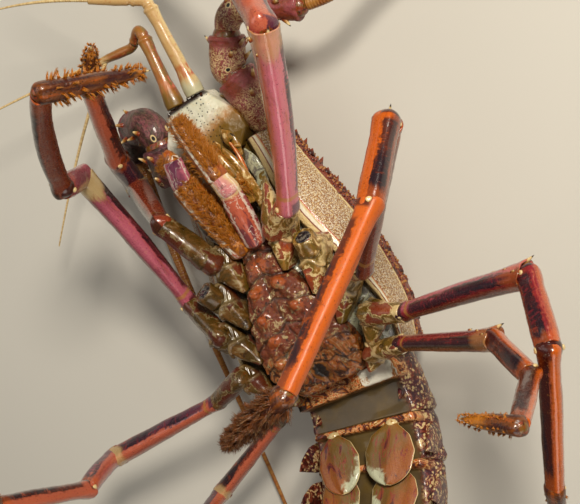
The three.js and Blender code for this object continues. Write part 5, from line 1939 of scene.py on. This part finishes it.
def head_shield():
    """The epistome: a pale plate with a dark toothed front edge."""
    form = Form()
    skin = node_skin("epistome", 0.5, 4)
    points = skin[0]
    upper = ease(44, 47, points[:, 2])
    front = ease(75.6, 76.8, points[:, 1]) * upper
    dent = hump(0, 2.2, np.abs(points[:, 0])) * 0.5 + 0.3 * swells(points, 6, 3)
    skin = raised(skin, (0.15 * swells(points, 1.5, 8) - dent * 0.5) * upper + 0.3 * front)
    form.add(skin, 0, mark=front)
    for i in range(-4, 5):
        thorn(form, (i * 2.3, 77.6 - 0.06 * i * i, 47.6), (i * 0.08, 1, 0.7), 2.0, 0.9, 1)
    form.make("head_shield", [shield_shell(), horn_dark()], ["epistome"])


def mandibles(side):
    """A jaw with a pale grinding edge, and its palp."""
    s = signed(side)
    form = Form()
    body = [ball((s * 7, 40, 50), (6.2, 7.3, 6.3), 24), ball((s * 3.9, 42.5, 53), (2.9, 4.3, 2.9), 20)]
    points, faces = melted(body, 0.4, 6)
    points[:, 0] = s * np.maximum(s * points[:, 0], 0.3)
    ridge = 0.3 * np.sin(points[:, 1] * 1.5 + 0.6 * points[:, 0]) * ease(52, 55, points[:, 2])
    form.add(raised((points, faces), ridge + 0.2 * swells(points, 2, 2)))
    path = arched((s * 12, 33, 53), (s * 18, 42, 59), (s * 11.5, 57, 52.5))
    far = lengths(path)
    wide = np.interp(far, [0, 8, 9, 17, 18, far[-1]], [1.3, 0.9, 1.1, 0.7, 0.8, 0.25])
    rod(form, 1, path, wide, 16)
    form.make(f"jaw_{side}", [tooth_shell(), palp_shell()], [f"mandible_{side}"])


def eye(side):
    """A glossy black eye on its short stalk."""
    form = Form()
    centre, root = placed(EYE, side), placed(EYE_ROOT, side)
    form.add(ball(centre, (EYE_RADIUS,) * 3, 40))
    share = np.linspace(0, 1, 14)
    wide = 3.2 + 1.1 * share + 0.35 * hump(0.9, 0.12, share) + 0.12 * np.sin(share * 22)
    rod(form, 1, np.linspace(root, centre - unit(centre - root) * 2.2, 14), wide, 28, 0.92, (0, 0, 1))
    form.make(f"eye_{side}_ball", [eye_gloss(), stalk_shell("left")], [f"eye_{side}"])


# Antennae


def antenna_piece(side, piece, name):
    """One of the three thick pieces at the root of an antenna, with its spines."""
    form = Form()
    path, joints = bent(PEDUNCLES[side], PEDUNCLE_RADII[min(piece, 1)])
    start, end = joints[piece], joints[piece + 1]
    radius = PEDUNCLE_RADII[piece]
    middle = stretch(path, start + 0.2, end - GAP, 44)
    far = lengths(middle)
    rim = span("rim")
    wide = radius * reading(PEDUNCLE_SHAPE)(shares(middle)) + rim * 0.8 * hump(far[-1] - 1.4, 1.3, far)
    wide = np.concatenate([wide, [wide[-1] - rim, wide[-1] - 1.3 * rim]])
    forward = unit(np.gradient(middle, axis=0))
    turned_in = middle[-1] - unit(middle[-1] - middle[-2]) * 1.2
    rings, guides = swept(np.vstack([middle, middle[-1], turned_in]), wide, 0.94 * wide, 48)
    skin = lofted(rings)
    grain = 0.35 * (0.6 - pebbles(skin[0], 2.4, piece))
    form.add(raised(skin, 0.45 * swells(skin[0], 7, piece) + grain), 0, **guides)
    if piece > 0:
        form.add(ball(path_at(path, start), (0.8 * radius,) * 3, 28), 1)
    form.add(ball(path_at(path, end - 1), (0.78 * radius,) * 3, 28), 1)
    for along, turn, length in PEDUNCLE_SPINES:
        i = int(along * 43)
        out = turned(*square_to(forward[i], (signed(side), 0.2, 0)), math.radians(turn))
        thorn(form, middle[i] + out * radius * 0.94, out + forward[i], length, 1.5, 2)
    form.stand_in(name, [antenna_shell(side), joint_skin(), thorn_shell()])


def path_at(path, distance):
    """The point this far along a path."""
    return stretch(path, distance, distance, 1)[0]


def whip(side):
    """A long antenna in fine rings, in its near and far pieces."""
    path = through(WHIPS[side], 2400)
    far = lengths(path)
    total = far[-1]
    wide = WHIP_RADII[1] + (WHIP_RADII[0] - WHIP_RADII[1]) * (1 - far / total) ** 3
    wide = wide * (1 + 0.07 * (1 - np.abs(2 * (far / WHIP_PITCH % 1) - 1)))
    for part, low, high in (("near", 3.3, total / 2 - GAP), ("far", total / 2 + GAP, total - 0.1)):
        form = Form()
        chosen = (far >= low) & (far <= high)
        rings, guides = swept(path[chosen], wide[chosen], wide[chosen], 14, (0, 0, 1))
        guides["lie"] = guides["lie"] + (0, 0, low * MM)
        form.add(lofted(rings), 0, **guides)
        form.stand_in(f"whip_{part}_{side}", [whip_shell()], "_rings")


def antennule(side):
    """The jointed stalk of an antennule, and its two fine whips."""
    form = Form()
    corners, ends = ANTENNULES[side]
    path, joints = bent(corners, 2.2)
    _, first, second, total = joints
    rows = [(0, 4.4), (3, 4.5), (6, 4.2), (12, 3.3), (first - 8, 2.9), (first - 1.5, 3.4)]
    rows += [(first + 4, 2.4), (total - 12, 2.4), (total, 1.8)]
    middle = evenly(path, 150)
    far = lengths(middle)
    wide = linear(far, rows)
    for at in (first, second):
        wide = wide + 0.35 * hump(at - 1.2, 1.2, far) - 0.45 * hump(at + 0.4, 0.9, far)
    rod(form, 0, middle, wide, 26, 0.92, lumps=[(0.12, 4)])
    start = corners[-1] + np.subtract(corners[-2], corners[-1]) * 0.2
    for handle, end in ends:
        path = arched(start, handle, end, 60, 420)
        wide = (1.0 - 0.65 * shares(path)) * (1 + 0.08 * np.sin(lengths(path) * 2 * math.pi / 0.9))
        rod(form, 1, path, wide, 12, 1, (0, 0, 1))
    form.stand_in(f"antennule_{side}", [stalk_shell(side), feeler_shell()], "_stalk")


# Mouth legs


def maxilliped(side):
    """An outer mouth leg in its two pieces, with its brushes."""
    corners, radii = MAXILLIPEDS[side]
    corners = [np.array(c, float) for c in corners]
    ways = ways_between(corners)
    left = side == "left"
    upper = mouth_shell(f"mouth_shell_{side}", "crimson", "salmon")
    lower = mouth_shell(f"mouth_shell_{side}_end", *(("cream", "rose") if left else ("rose", "purple")))
    merus, carpus, dactyl = MOUTH_SHAPES
    form = Form()
    article(form, corners[0], corners[1], radii[0], merus, SHELL if left else LAST, ways[1], flat=1.25)
    joint(form, corners[1], ways[0], ways[1], 0.9 * radii[1])
    form.stand_in(f"maxilliped_upper_{side}", leg_finishes(upper, brush_root()))
    form = Form()
    article(form, corners[1], corners[2], radii[1], carpus, SHELL, ways[2], flat=1.15, lift=30)
    joint(form, corners[2], ways[1], ways[2], 0.85 * radii[2])
    article(form, corners[2], corners[3], radii[2], dactyl, LAST, flat=1.15, lift=60)
    form.stand_in(f"maxilliped_lower_{side}", leg_finishes(lower, brush_root()))
    for name, toward, part, wide, *rows, seed, share, more in BRUSHES[side]:
        limb = (corners[part], corners[part + 1], toward, wide * radii[part], MOUTH_SHAPES[part])
        hair(name, limb, *rows, share * span("brush") + more, seed)


def hair(name, limb, arc, rows, pitch, long, seed):
    """The golden hair of the mouth legs, in loose tufts."""
    tufts(name, limb, arc, rows, pitch, long, bristle_shell("brush_shell", "rust", "gold"), seed, 1.0)


def inner_mouth(side):
    """The small parts between the jaws and the outer mouth legs, and their bristles."""
    form = Form()
    for finish, radii, flat, route in MOUTH_PARTS:
        path = arched(*(placed(spot, side) for spot in route))
        rod(form, finish, path, reading(radii)(shares(path)), 18, flat, lumps=[(0.15, 1.8)])
    form.make(f"mouth_lobes_{side}", [lobe_shell(), membrane_skin()], ())
    start, end = placed((12, 26, 57), side), placed((7, 54, 60), side)
    limb = (start, end, (0, 0.3, 1), 3.0, [(0, 1), (1, 0.7)])
    hair(f"mouth_lobe_bristles_{side}", limb, 150, 7, 1.5, 3.4, 30 + signed(side))


def membranes():
    """The soft skin between the leg bases, from the breastplate out to the carapace."""
    form = Form()
    half, high = reading(STERNUM), reading(STERNUM, 2)
    open_, margin = reading(CARAPACE, 2), reading(CARAPACE, 3)
    for s in (1, -1):
        rings = []
        for y in np.linspace(-60, 22, 60):
            inner = np.array([float(half(y)) - 1.5, float(high(y)) - 9])
            outer = np.array([float(open_(y)) - RIM - 1.2, float(margin(y)) - 4.5])
            upper = inner + (outer - inner) * np.linspace(0, 1, 24)[:, None]
            rings.append([(s * x, y, z) for x, z in np.vstack([upper, upper[::-1] - (0, 1.2)])])
        form.add(lumpy(lofted(rings), (0.9, 4.5, 5), (0.3, 1.6, 6)))
    form.make("soft_skin", [membrane_skin()], ())


# Tail

RING_STARTS = [0, *itertools.accumulate(RINGS)]
TAIL_LENGTH = sum(RINGS)


def tail_frame(at):
    """Directions of the tail this far along it: back, to the animal's left, and out of its belly."""
    curl = math.radians(TAIL_FIRST_CURL + TAIL_CURL * at)
    swing = -math.radians(TAIL_SWING * math.sin(math.radians(90 * min(1, at / 90))))
    back = np.array([math.sin(swing) * math.cos(curl), -math.cos(swing) * math.cos(curl), math.sin(curl)])
    side = np.array([math.cos(swing), math.sin(swing), 0])
    return back, side, np.cross(back, side)


@functools.cache
def tail_place(along):
    """The middle of the tail this far along it."""
    place = np.array([0, CARAPACE_REAR, TAIL_HEIGHT], float)
    at = 0
    while at < along - 1e-6:
        place = place + tail_frame(at)[0] * min(2, along - at)
        at += 2
    return place


def on_tail(along, across, up, behind=0.0):
    """A point on the tail, from its distance along, to the left, towards the belly and back."""
    back, side, belly = tail_frame(along)
    return tail_place(along) + side * across + belly * up + back * behind


def tail_share(along):
    """How wide the tail is here, against its front end."""
    return 1 - 0.3 * max(0, (along - 50) / 88) ** 1.6


def tail_ring(index):
    """One ring of the tail: scaled shell round the back, a bar and soft skin on the belly."""
    form = Form()
    start = RING_STARTS[index] + (GAP if index else 2 * GAP)
    end = RING_STARTS[index + 1] - GAP
    bar_width, bar_height = (3.5, 2.8) if index else (9, 9)
    arc = np.radians(np.linspace(-20, 200, 90))
    across = np.linspace(-0.84, 0.84, 40)
    rings, soft, mark = [], [], []
    for along in np.linspace(start, end, 48):
        share = tail_share(along)
        into, left = along - start, end - along
        wide = 0.955 + 0.03 * ease(0, 3, into) + 0.04 * ease(7, 1.5, left) - 0.03 * ease(1.2, 0, left)
        half, depth = TAIL_HALF_WIDTH * share * wide, TAIL_DEPTH * share * wide
        bar = ease(-1, 0.6, into) * (1 - ease(bar_width - 0.7, bar_width + 1.2, into))
        notch = 1 - 0.3 * hump(0, 0.25, np.abs(across))
        belly = (TAIL_BELLY - 0.9 * hump(0.5, 0.6, into / (end - start)) + bar_height * bar * notch) * share
        shell = [on_tail(along, half * math.cos(a), -depth * math.sin(a)) for a in arc]
        rings.append(shell + [on_tail(along, q * half, u) for q, u in zip(across, belly)])
        soft.append(np.concatenate([0 * arc, ease(0.84, 0.72, np.abs(across)) * (1 - bar)]))
        # The wider mark at the sides of the first bar is where tail_shell paints its highlight.
        white = (index == 0) * ease(0.3, 0.42, np.abs(across)) * ease(0.5, 1.5, into)
        mark.append(np.concatenate([0 * arc, bar * (1 + white)]))
    skin = lofted(rings)
    soft, mark = spread(soft), spread(mark)
    folds = 0.5 * swells(skin[0], 9, 2) + 0.12 * swells(skin[0], 3, 3)
    lumps = 0.6 * (0.7 - pebbles(skin[0] * (1, 0.8, 1), 3.0, index)) + 0.3 * swells(skin[0], 6, index)
    skin = raised(skin, lumps * (1 - soft) * (1 - 0.4 * np.minimum(mark, 1)) + soft * folds)
    form.add(skin, 0, soft=soft, mark=mark)
    for s in (1, -1):
        pleuron(form, index, s)
        if 1 <= index <= 4:
            swimmeret(form, index, s)
    form.stand_in(f"tail_{index + 1}", [tail_shell(), leaf_shell(), cream_shell()])


def pleuron(form, index, s):
    """The pointed lappet on one side of a ring."""
    middle = RING_STARTS[index] + (0.55 if index < 5 else 0.4) * RINGS[index]
    share = tail_share(middle) * (1 if index else 0.7)
    half = TAIL_HALF_WIDTH * share
    start = on_tail(middle, s * (half - 2), -2)
    handle = on_tail(middle, s * (half + 0.5), 12 * share, 1)
    end = on_tail(middle, s * (half + 1), 23 * share, 7 * share)
    path = arched(start, handle, end, 60)
    wide = share * np.interp(shares(path), [0, 0.5, 0.8, 0.93, 1], [7.5, 6, 3, 1.3, 0.3])
    deep = np.interp(shares(path), [0, 0.5, 0.8, 1], [2, 1.6, 1.2, 0.3])
    skin = lofted(swept(path, wide, deep, 28, tail_frame(middle)[0])[0])
    scales = ease(1, 4, np.repeat(wide, 28).tolist() + [8, 0])
    form.add(raised(skin, 0.25 * (0.7 - pebbles(skin[0], 2.4, index + 9)) * scales))


def plate(form, finish, root, axes, q, half, high, far, length, share, rim, aside, scale=1.0):
    """A flat leaf of shell from its root out, with its guides. Each ring runs once round the leaf,
    and q goes from edge to edge."""
    out, behind, over = axes
    wide = q * half[:, None]
    rings = root + behind * (far * scale)[:, None, None] + out * (wide * scale)[..., None]
    edge = np.maximum(np.abs(q), rim[:, None])
    q, share, aside, _ = np.broadcast_arrays(q, share[:, None], aside, edge)
    lie = np.stack([wide, aside, share * length], -1) * MM
    guide = np.stack([q, edge, share], -1)
    form.add(lofted(rings + over * high[..., None]), finish, round=spread(guide), lie=spread(lie))


# How far back, then lift, half width and thickness of a swimmeret
LEAF = [
    (-1, -1, 2.4, 1.6),
    (2, 3.2, 3.4, 1.2),
    (7, 4, 9.4, 0.7),
    (14, 4.4, 12, 0.7),
    (22, 4.8, 10.6, 0.7),
    (29, 5, 6, 0.6),
]


def swimmeret(form, index, s):
    """A leaf-shaped swimmeret on one side of a ring's belly, with the knob that bears it."""
    along = RING_STARTS[index] + 2.5
    back, side, belly = tail_frame(along)
    share = 1 - 0.1 * (index - 1)
    hinge = on_tail(along, s * 0.5 * TAIL_HALF_WIDTH * tail_share(RING_STARTS[index]), TAIL_BELLY)
    behind = unit(turned(back, belly, math.radians(15)) - 0.16 * s * side)
    out = unit(side * s + 0.16 * behind)
    over = -unit(np.cross(side, behind))
    far = np.linspace(-1, 28.9, 40)
    lift, half, thick = (linear(far, LEAF, k) for k in (1, 2, 3))
    half = half * np.sqrt(1 - np.clip((far - 24) / 5.05, 0, 1) ** 2) * (1 if s > 0 else 0.85)
    q, up = np.cos(around(40)), np.sin(around(40))
    waves = 0.35 * np.sin(q * 7 + index) * ease(4, 10, far)[:, None] - 1.1 * q**2 * ease(4, 12, far)[:, None]
    high = (lift[:, None] + waves + up * thick[:, None]) * share
    axes = (out, behind, over)
    rim = ease(25, 28.9, far)
    plate(form, 1, hinge, axes, q, half, high, far, 30, (far + 1) / 30, rim, 7 * index + 3 * s, share)
    form.add(ball(hinge + over * 2.5 * share + behind * 1.5, (2.9 * share, 2.2, 2.3), 20, axes), 2)


def fan_blade(name):
    """One blade of the tail fan, hard at the root, with fine rays and a fringe."""
    form = Form()
    turn, across, lift, length, width = FAN[name]
    back, side, belly = tail_frame(TAIL_LENGTH)
    behind = turned(back, side, math.radians(turn))
    out = turned(side, -back, math.radians(turn))
    root = on_tail(TAIL_LENGTH, across, lift, -3)
    t = np.linspace(0, 1, 60)
    half = np.interp(t, [0, 0.25, 0.6, 0.85, 0.96, 1], [0.5, 0.72, 0.96, 0.92, 0.7, 0.34]) * width / 2
    q, up = np.cos(around(64)), np.sin(around(64))
    hard = ease(0.45, 0.36, t)[:, None]
    ribs = 0.14 * np.sin(q * 26) * (1 - hard) * np.sign(up)
    knobs = 0.5 * hard * np.sign(up) * (0.4 + 0.6 * np.cos(q * 9) * np.cos(t * 40)[:, None])
    thick = (0.78 + 0.5 * hard) * (up * np.abs(up) ** -0.4) * 0.9
    high = thick + ribs + knobs * 0.5 - 0.9 * q**2 * ease(0.1, 0.6, t)[:, None]
    plate(form, 0, root, (out, behind, belly), q, half, high, t * length, length, t, ease(0.93, 1, t), across)
    form.stand_in(name, [fan_shell()], "_blade")
    outline = np.stack([half, t * length], -1)
    fringe(name + "_fringe", root, behind, out, belly, length, width, outline)


def fringe(name, root, behind, out, belly, length, width, outline):
    """Short fine bristles along the rear edge of a fan blade."""
    draw = np.random.default_rng(int(abs(width * 10)))
    edge = np.concatenate([outline * (-1, 1), outline[::-1]])
    edge = edge[edge[:, 1] > 0.35 * length]
    far = lengths(edge)
    at = draw.uniform(0, far[-1], FRINGE)
    x, y = (np.interp(at, far, edge[:, k]) for k in (0, 1))
    spacing = far + 1e-9 * np.arange(len(far))
    way = np.stack([np.interp(at, far, np.gradient(edge[:, k], spacing)) for k in (0, 1)], -1)
    way = way / np.maximum(np.linalg.norm(way, axis=1, keepdims=True), 1e-6)
    away = -way[:, 1:2] * out + way[:, :1] * behind
    sag = -0.9 * (2 * x / width) ** 2
    places = root + behind * y[:, None] + out * x[:, None] + belly * sag[:, None] - 0.3 * away
    leans = unit(away + 0.5 * behind + 0.12 * draw.normal(0, 1, (FRINGE, 3)))
    reaches = 1.8 * draw.uniform(0.7, 1.2, FRINGE)
    homes = np.stack([(x / width + 0.5) * 0.4, y / length, 0 * x], -1)
    tones = draw.uniform(0, 1, FRINGE)
    bristle = tapered_shape("bristle", BRISTLE, 3, 0.2)
    finish = bristle_shell("fringe_shell", "rust", "tan")
    planted(name, bristle, finish, "bristles", 2, places, leans, 0.12, reaches, homes, tones)


# Stage

FLOOR_REACH = 3.0


def aim(thing, place, target):
    """Put a light or camera in place and turn it to a target."""
    thing.location = Vector(place) * MM
    thing.rotation_euler = (Vector(target) - Vector(place)).to_track_quat("-Z", "Y").to_euler()


def lamp(name, place, target, width, power, tone):
    """A large soft light."""
    light = bpy.data.lights.new(name, "AREA")
    light.shape = "DISK"
    light.size = width * MM
    light.energy = power
    light.color = tone
    aim(new_object(name, light), place, target)


def camera():
    """The view of the photograph."""
    back = Vector(VIEWED)
    right = Vector((0, 1, 0)).cross(back).normalized()
    up = back.cross(right)
    roll = math.radians(CAMERA_ROLL)
    turn = Matrix((turned(right, up, roll), turned(up, -right, roll), back)).transposed().to_4x4()
    lens = bpy.data.cameras.new("Camera")
    lens.sensor_width = SENSOR
    lens.lens = FOCAL_PIXELS / PICTURE_WIDTH * SENSOR
    lens.clip_start = 0.01
    thing = new_object("Camera", lens)
    place = Vector(CAMERA_TARGET) + back * CAMERA_DISTANCE
    thing.matrix_world = Matrix.Translation(place * MM) @ turn
    bpy.context.scene.camera = thing


def floor():
    """A wide pale floor under the lobster."""
    corners = [(x * FLOOR_REACH, y * FLOOR_REACH, 0) for x, y in ((-1, -1), (1, -1), (1, 1), (-1, 1))]
    mesh = new_mesh("floor", corners, [(0, 1, 2, 3)])
    mesh.materials.append(floor_paint())
    new_object("floor", mesh)


def daylight():
    """Soft studio light: a key from the upper right of the picture, a fill and a pale room."""
    lamp("Key light", (520, 260, 700), (20, 20, 30), 190, 8.6, (1.0, 0.92, 0.8))
    lamp("Fill light", (-350, 420, 620), (0, 0, 30), 600, 1.1, (1.0, 0.97, 0.93))
    lamp("Rim light", (100, -700, 420), (0, -40, 40), 500, 1.3, (1.0, 0.95, 0.87))
    world = bpy.data.worlds.new("Room")
    world.use_nodes = True
    room = world.node_tree.nodes["Background"]
    room.inputs["Color"].default_value = (1.0, 0.93, 0.84, 1.0)
    room.inputs["Strength"].default_value = 0.09
    bpy.context.scene.world = world
    bpy.context.scene.view_settings.view_transform = "Standard"


# Operators

BOTH = (("left",), ("right",))


def done(action, *rows):
    """Run one making step for each row and report it finished."""
    for row in rows:
        action(*row)
    return {"FINISHED"}


class LOBSTER_OT_carapace(bpy.types.Operator):
    """Make the carapace with its knobs and spines"""

    bl_idname = "lobster.carapace"
    bl_label = "Carapace"

    def execute(self, context):
        return done(carapace, ())


class LOBSTER_OT_breastplate(bpy.types.Operator):
    """Make the breastplate between the legs"""

    bl_idname = "lobster.breastplate"
    bl_label = "Breastplate"

    def execute(self, context):
        return done(breastplate, ()) | done(membranes, ())


class LOBSTER_OT_leg_uppers(bpy.types.Operator):
    """Make the coxa, ischium and merus of each leg"""

    bl_idname = "lobster.leg_uppers"
    bl_label = "Legs, upper"

    def execute(self, context):
        return done(leg_upper, *LEGS)


class LOBSTER_OT_leg_lowers(bpy.types.Operator):
    """Make the knee, carpus and propodus of each leg"""

    bl_idname = "lobster.leg_lowers"
    bl_label = "Legs, lower"

    def execute(self, context):
        return done(leg_lower, *LEGS)


class LOBSTER_OT_dactyls(bpy.types.Operator):
    """Make the last piece of each leg with its bristles"""

    bl_idname = "lobster.dactyls"
    bl_label = "Leg ends"

    def execute(self, context):
        return done(leg_dactyl, *LEGS)


class LOBSTER_OT_stumps(bpy.types.Operator):
    """Make the bases of the two lost legs"""

    bl_idname = "lobster.stumps"
    bl_label = "Lost legs"

    def execute(self, context):
        return done(stump, *BOTH)


class LOBSTER_OT_mouth_legs(bpy.types.Operator):
    """Make the outer mouth legs with their brushes"""

    bl_idname = "lobster.mouth_legs"
    bl_label = "Mouth legs"

    def execute(self, context):
        return done(maxilliped, *BOTH)


class LOBSTER_OT_mouth(bpy.types.Operator):
    """Make the head shield and the jaws"""

    bl_idname = "lobster.mouth"
    bl_label = "Mouth"

    def execute(self, context):
        head_shield()
        done(inner_mouth, *BOTH)
        return done(mandibles, *BOTH)


class LOBSTER_OT_eyes(bpy.types.Operator):
    """Make the eyes on their stalks"""

    bl_idname = "lobster.eyes"
    bl_label = "Eyes"

    def execute(self, context):
        return done(eye, *BOTH)


class LOBSTER_OT_antennae(bpy.types.Operator):
    """Make the three thick pieces of each antenna"""

    bl_idname = "lobster.antennae"
    bl_label = "Antenna bases"

    def execute(self, context):
        pieces = ("base", "middle", "end")
        rows = [(side, k, f"antenna_{piece}_{side}") for side in PEDUNCLES for k, piece in enumerate(pieces)]
        return done(antenna_piece, *rows)


class LOBSTER_OT_whips(bpy.types.Operator):
    """Make the two long antennae"""

    bl_idname = "lobster.whips"
    bl_label = "Long antennae"

    def execute(self, context):
        return done(whip, *BOTH)


class LOBSTER_OT_antennules(bpy.types.Operator):
    """Make the two antennules"""

    bl_idname = "lobster.antennules"
    bl_label = "Antennules"

    def execute(self, context):
        return done(antennule, *BOTH)


class LOBSTER_OT_tail(bpy.types.Operator):
    """Make the six rings of the tail with their lappets and swimmerets"""

    bl_idname = "lobster.tail"
    bl_label = "Tail rings"

    def execute(self, context):
        return done(tail_ring, *((index,) for index in range(len(RINGS))))


class LOBSTER_OT_tail_fan(bpy.types.Operator):
    """Make the five blades of the tail fan"""

    bl_idname = "lobster.tail_fan"
    bl_label = "Tail fan"

    def execute(self, context):
        return done(fan_blade, *((name,) for name in FAN))


class LOBSTER_OT_stage(bpy.types.Operator):
    """Set up the floor, the lights and the camera"""

    bl_idname = "lobster.stage"
    bl_label = "Floor, lights and camera"

    def execute(self, context):
        floor()
        daylight()
        camera()
        return {"FINISHED"}


STEPS = (
    LOBSTER_OT_carapace,
    LOBSTER_OT_breastplate,
    LOBSTER_OT_leg_uppers,
    LOBSTER_OT_leg_lowers,
    LOBSTER_OT_dactyls,
    LOBSTER_OT_stumps,
    LOBSTER_OT_mouth_legs,
    LOBSTER_OT_mouth,
    LOBSTER_OT_eyes,
    LOBSTER_OT_antennae,
    LOBSTER_OT_whips,
    LOBSTER_OT_antennules,
    LOBSTER_OT_tail,
    LOBSTER_OT_tail_fan,
    LOBSTER_OT_stage,
)


class LOBSTER_PT_panel(bpy.types.Panel):
    """The steps of the model and its settings"""

    bl_idname = "LOBSTER_PT_panel"
    bl_label = "Spiny lobster"
    bl_space_type = "VIEW_3D"
    bl_region_type = "UI"
    bl_category = "Lobster"

    def draw(self, context):
        for step in STEPS:
            self.layout.operator(step.bl_idname)
        for group in (context.scene.lobster_sizes, context.scene.lobster_colours):
            for name in group.__annotations__:
                self.layout.prop(group, name)


CLASSES = (LobsterColours, LobsterSizes, *STEPS, LOBSTER_PT_panel)


def register():
    """Add the classes and the settings to Blender."""
    for item in CLASSES:
        bpy.utils.register_class(item)
    bpy.types.Scene.lobster_colours = bpy.props.PointerProperty(type=LobsterColours)
    bpy.types.Scene.lobster_sizes = bpy.props.PointerProperty(type=LobsterSizes)


def unregister():
    """Take the classes and the settings out of Blender."""
    del bpy.types.Scene.lobster_sizes
    del bpy.types.Scene.lobster_colours
    for item in reversed(CLASSES):
        bpy.utils.unregister_class(item)


def main():
    """Make every piece and the stage."""
    register()
    for step in STEPS:
        group, name = step.bl_idname.split(".")
        getattr(getattr(bpy.ops, group), name)()


if __name__ == "__main__":
    main()
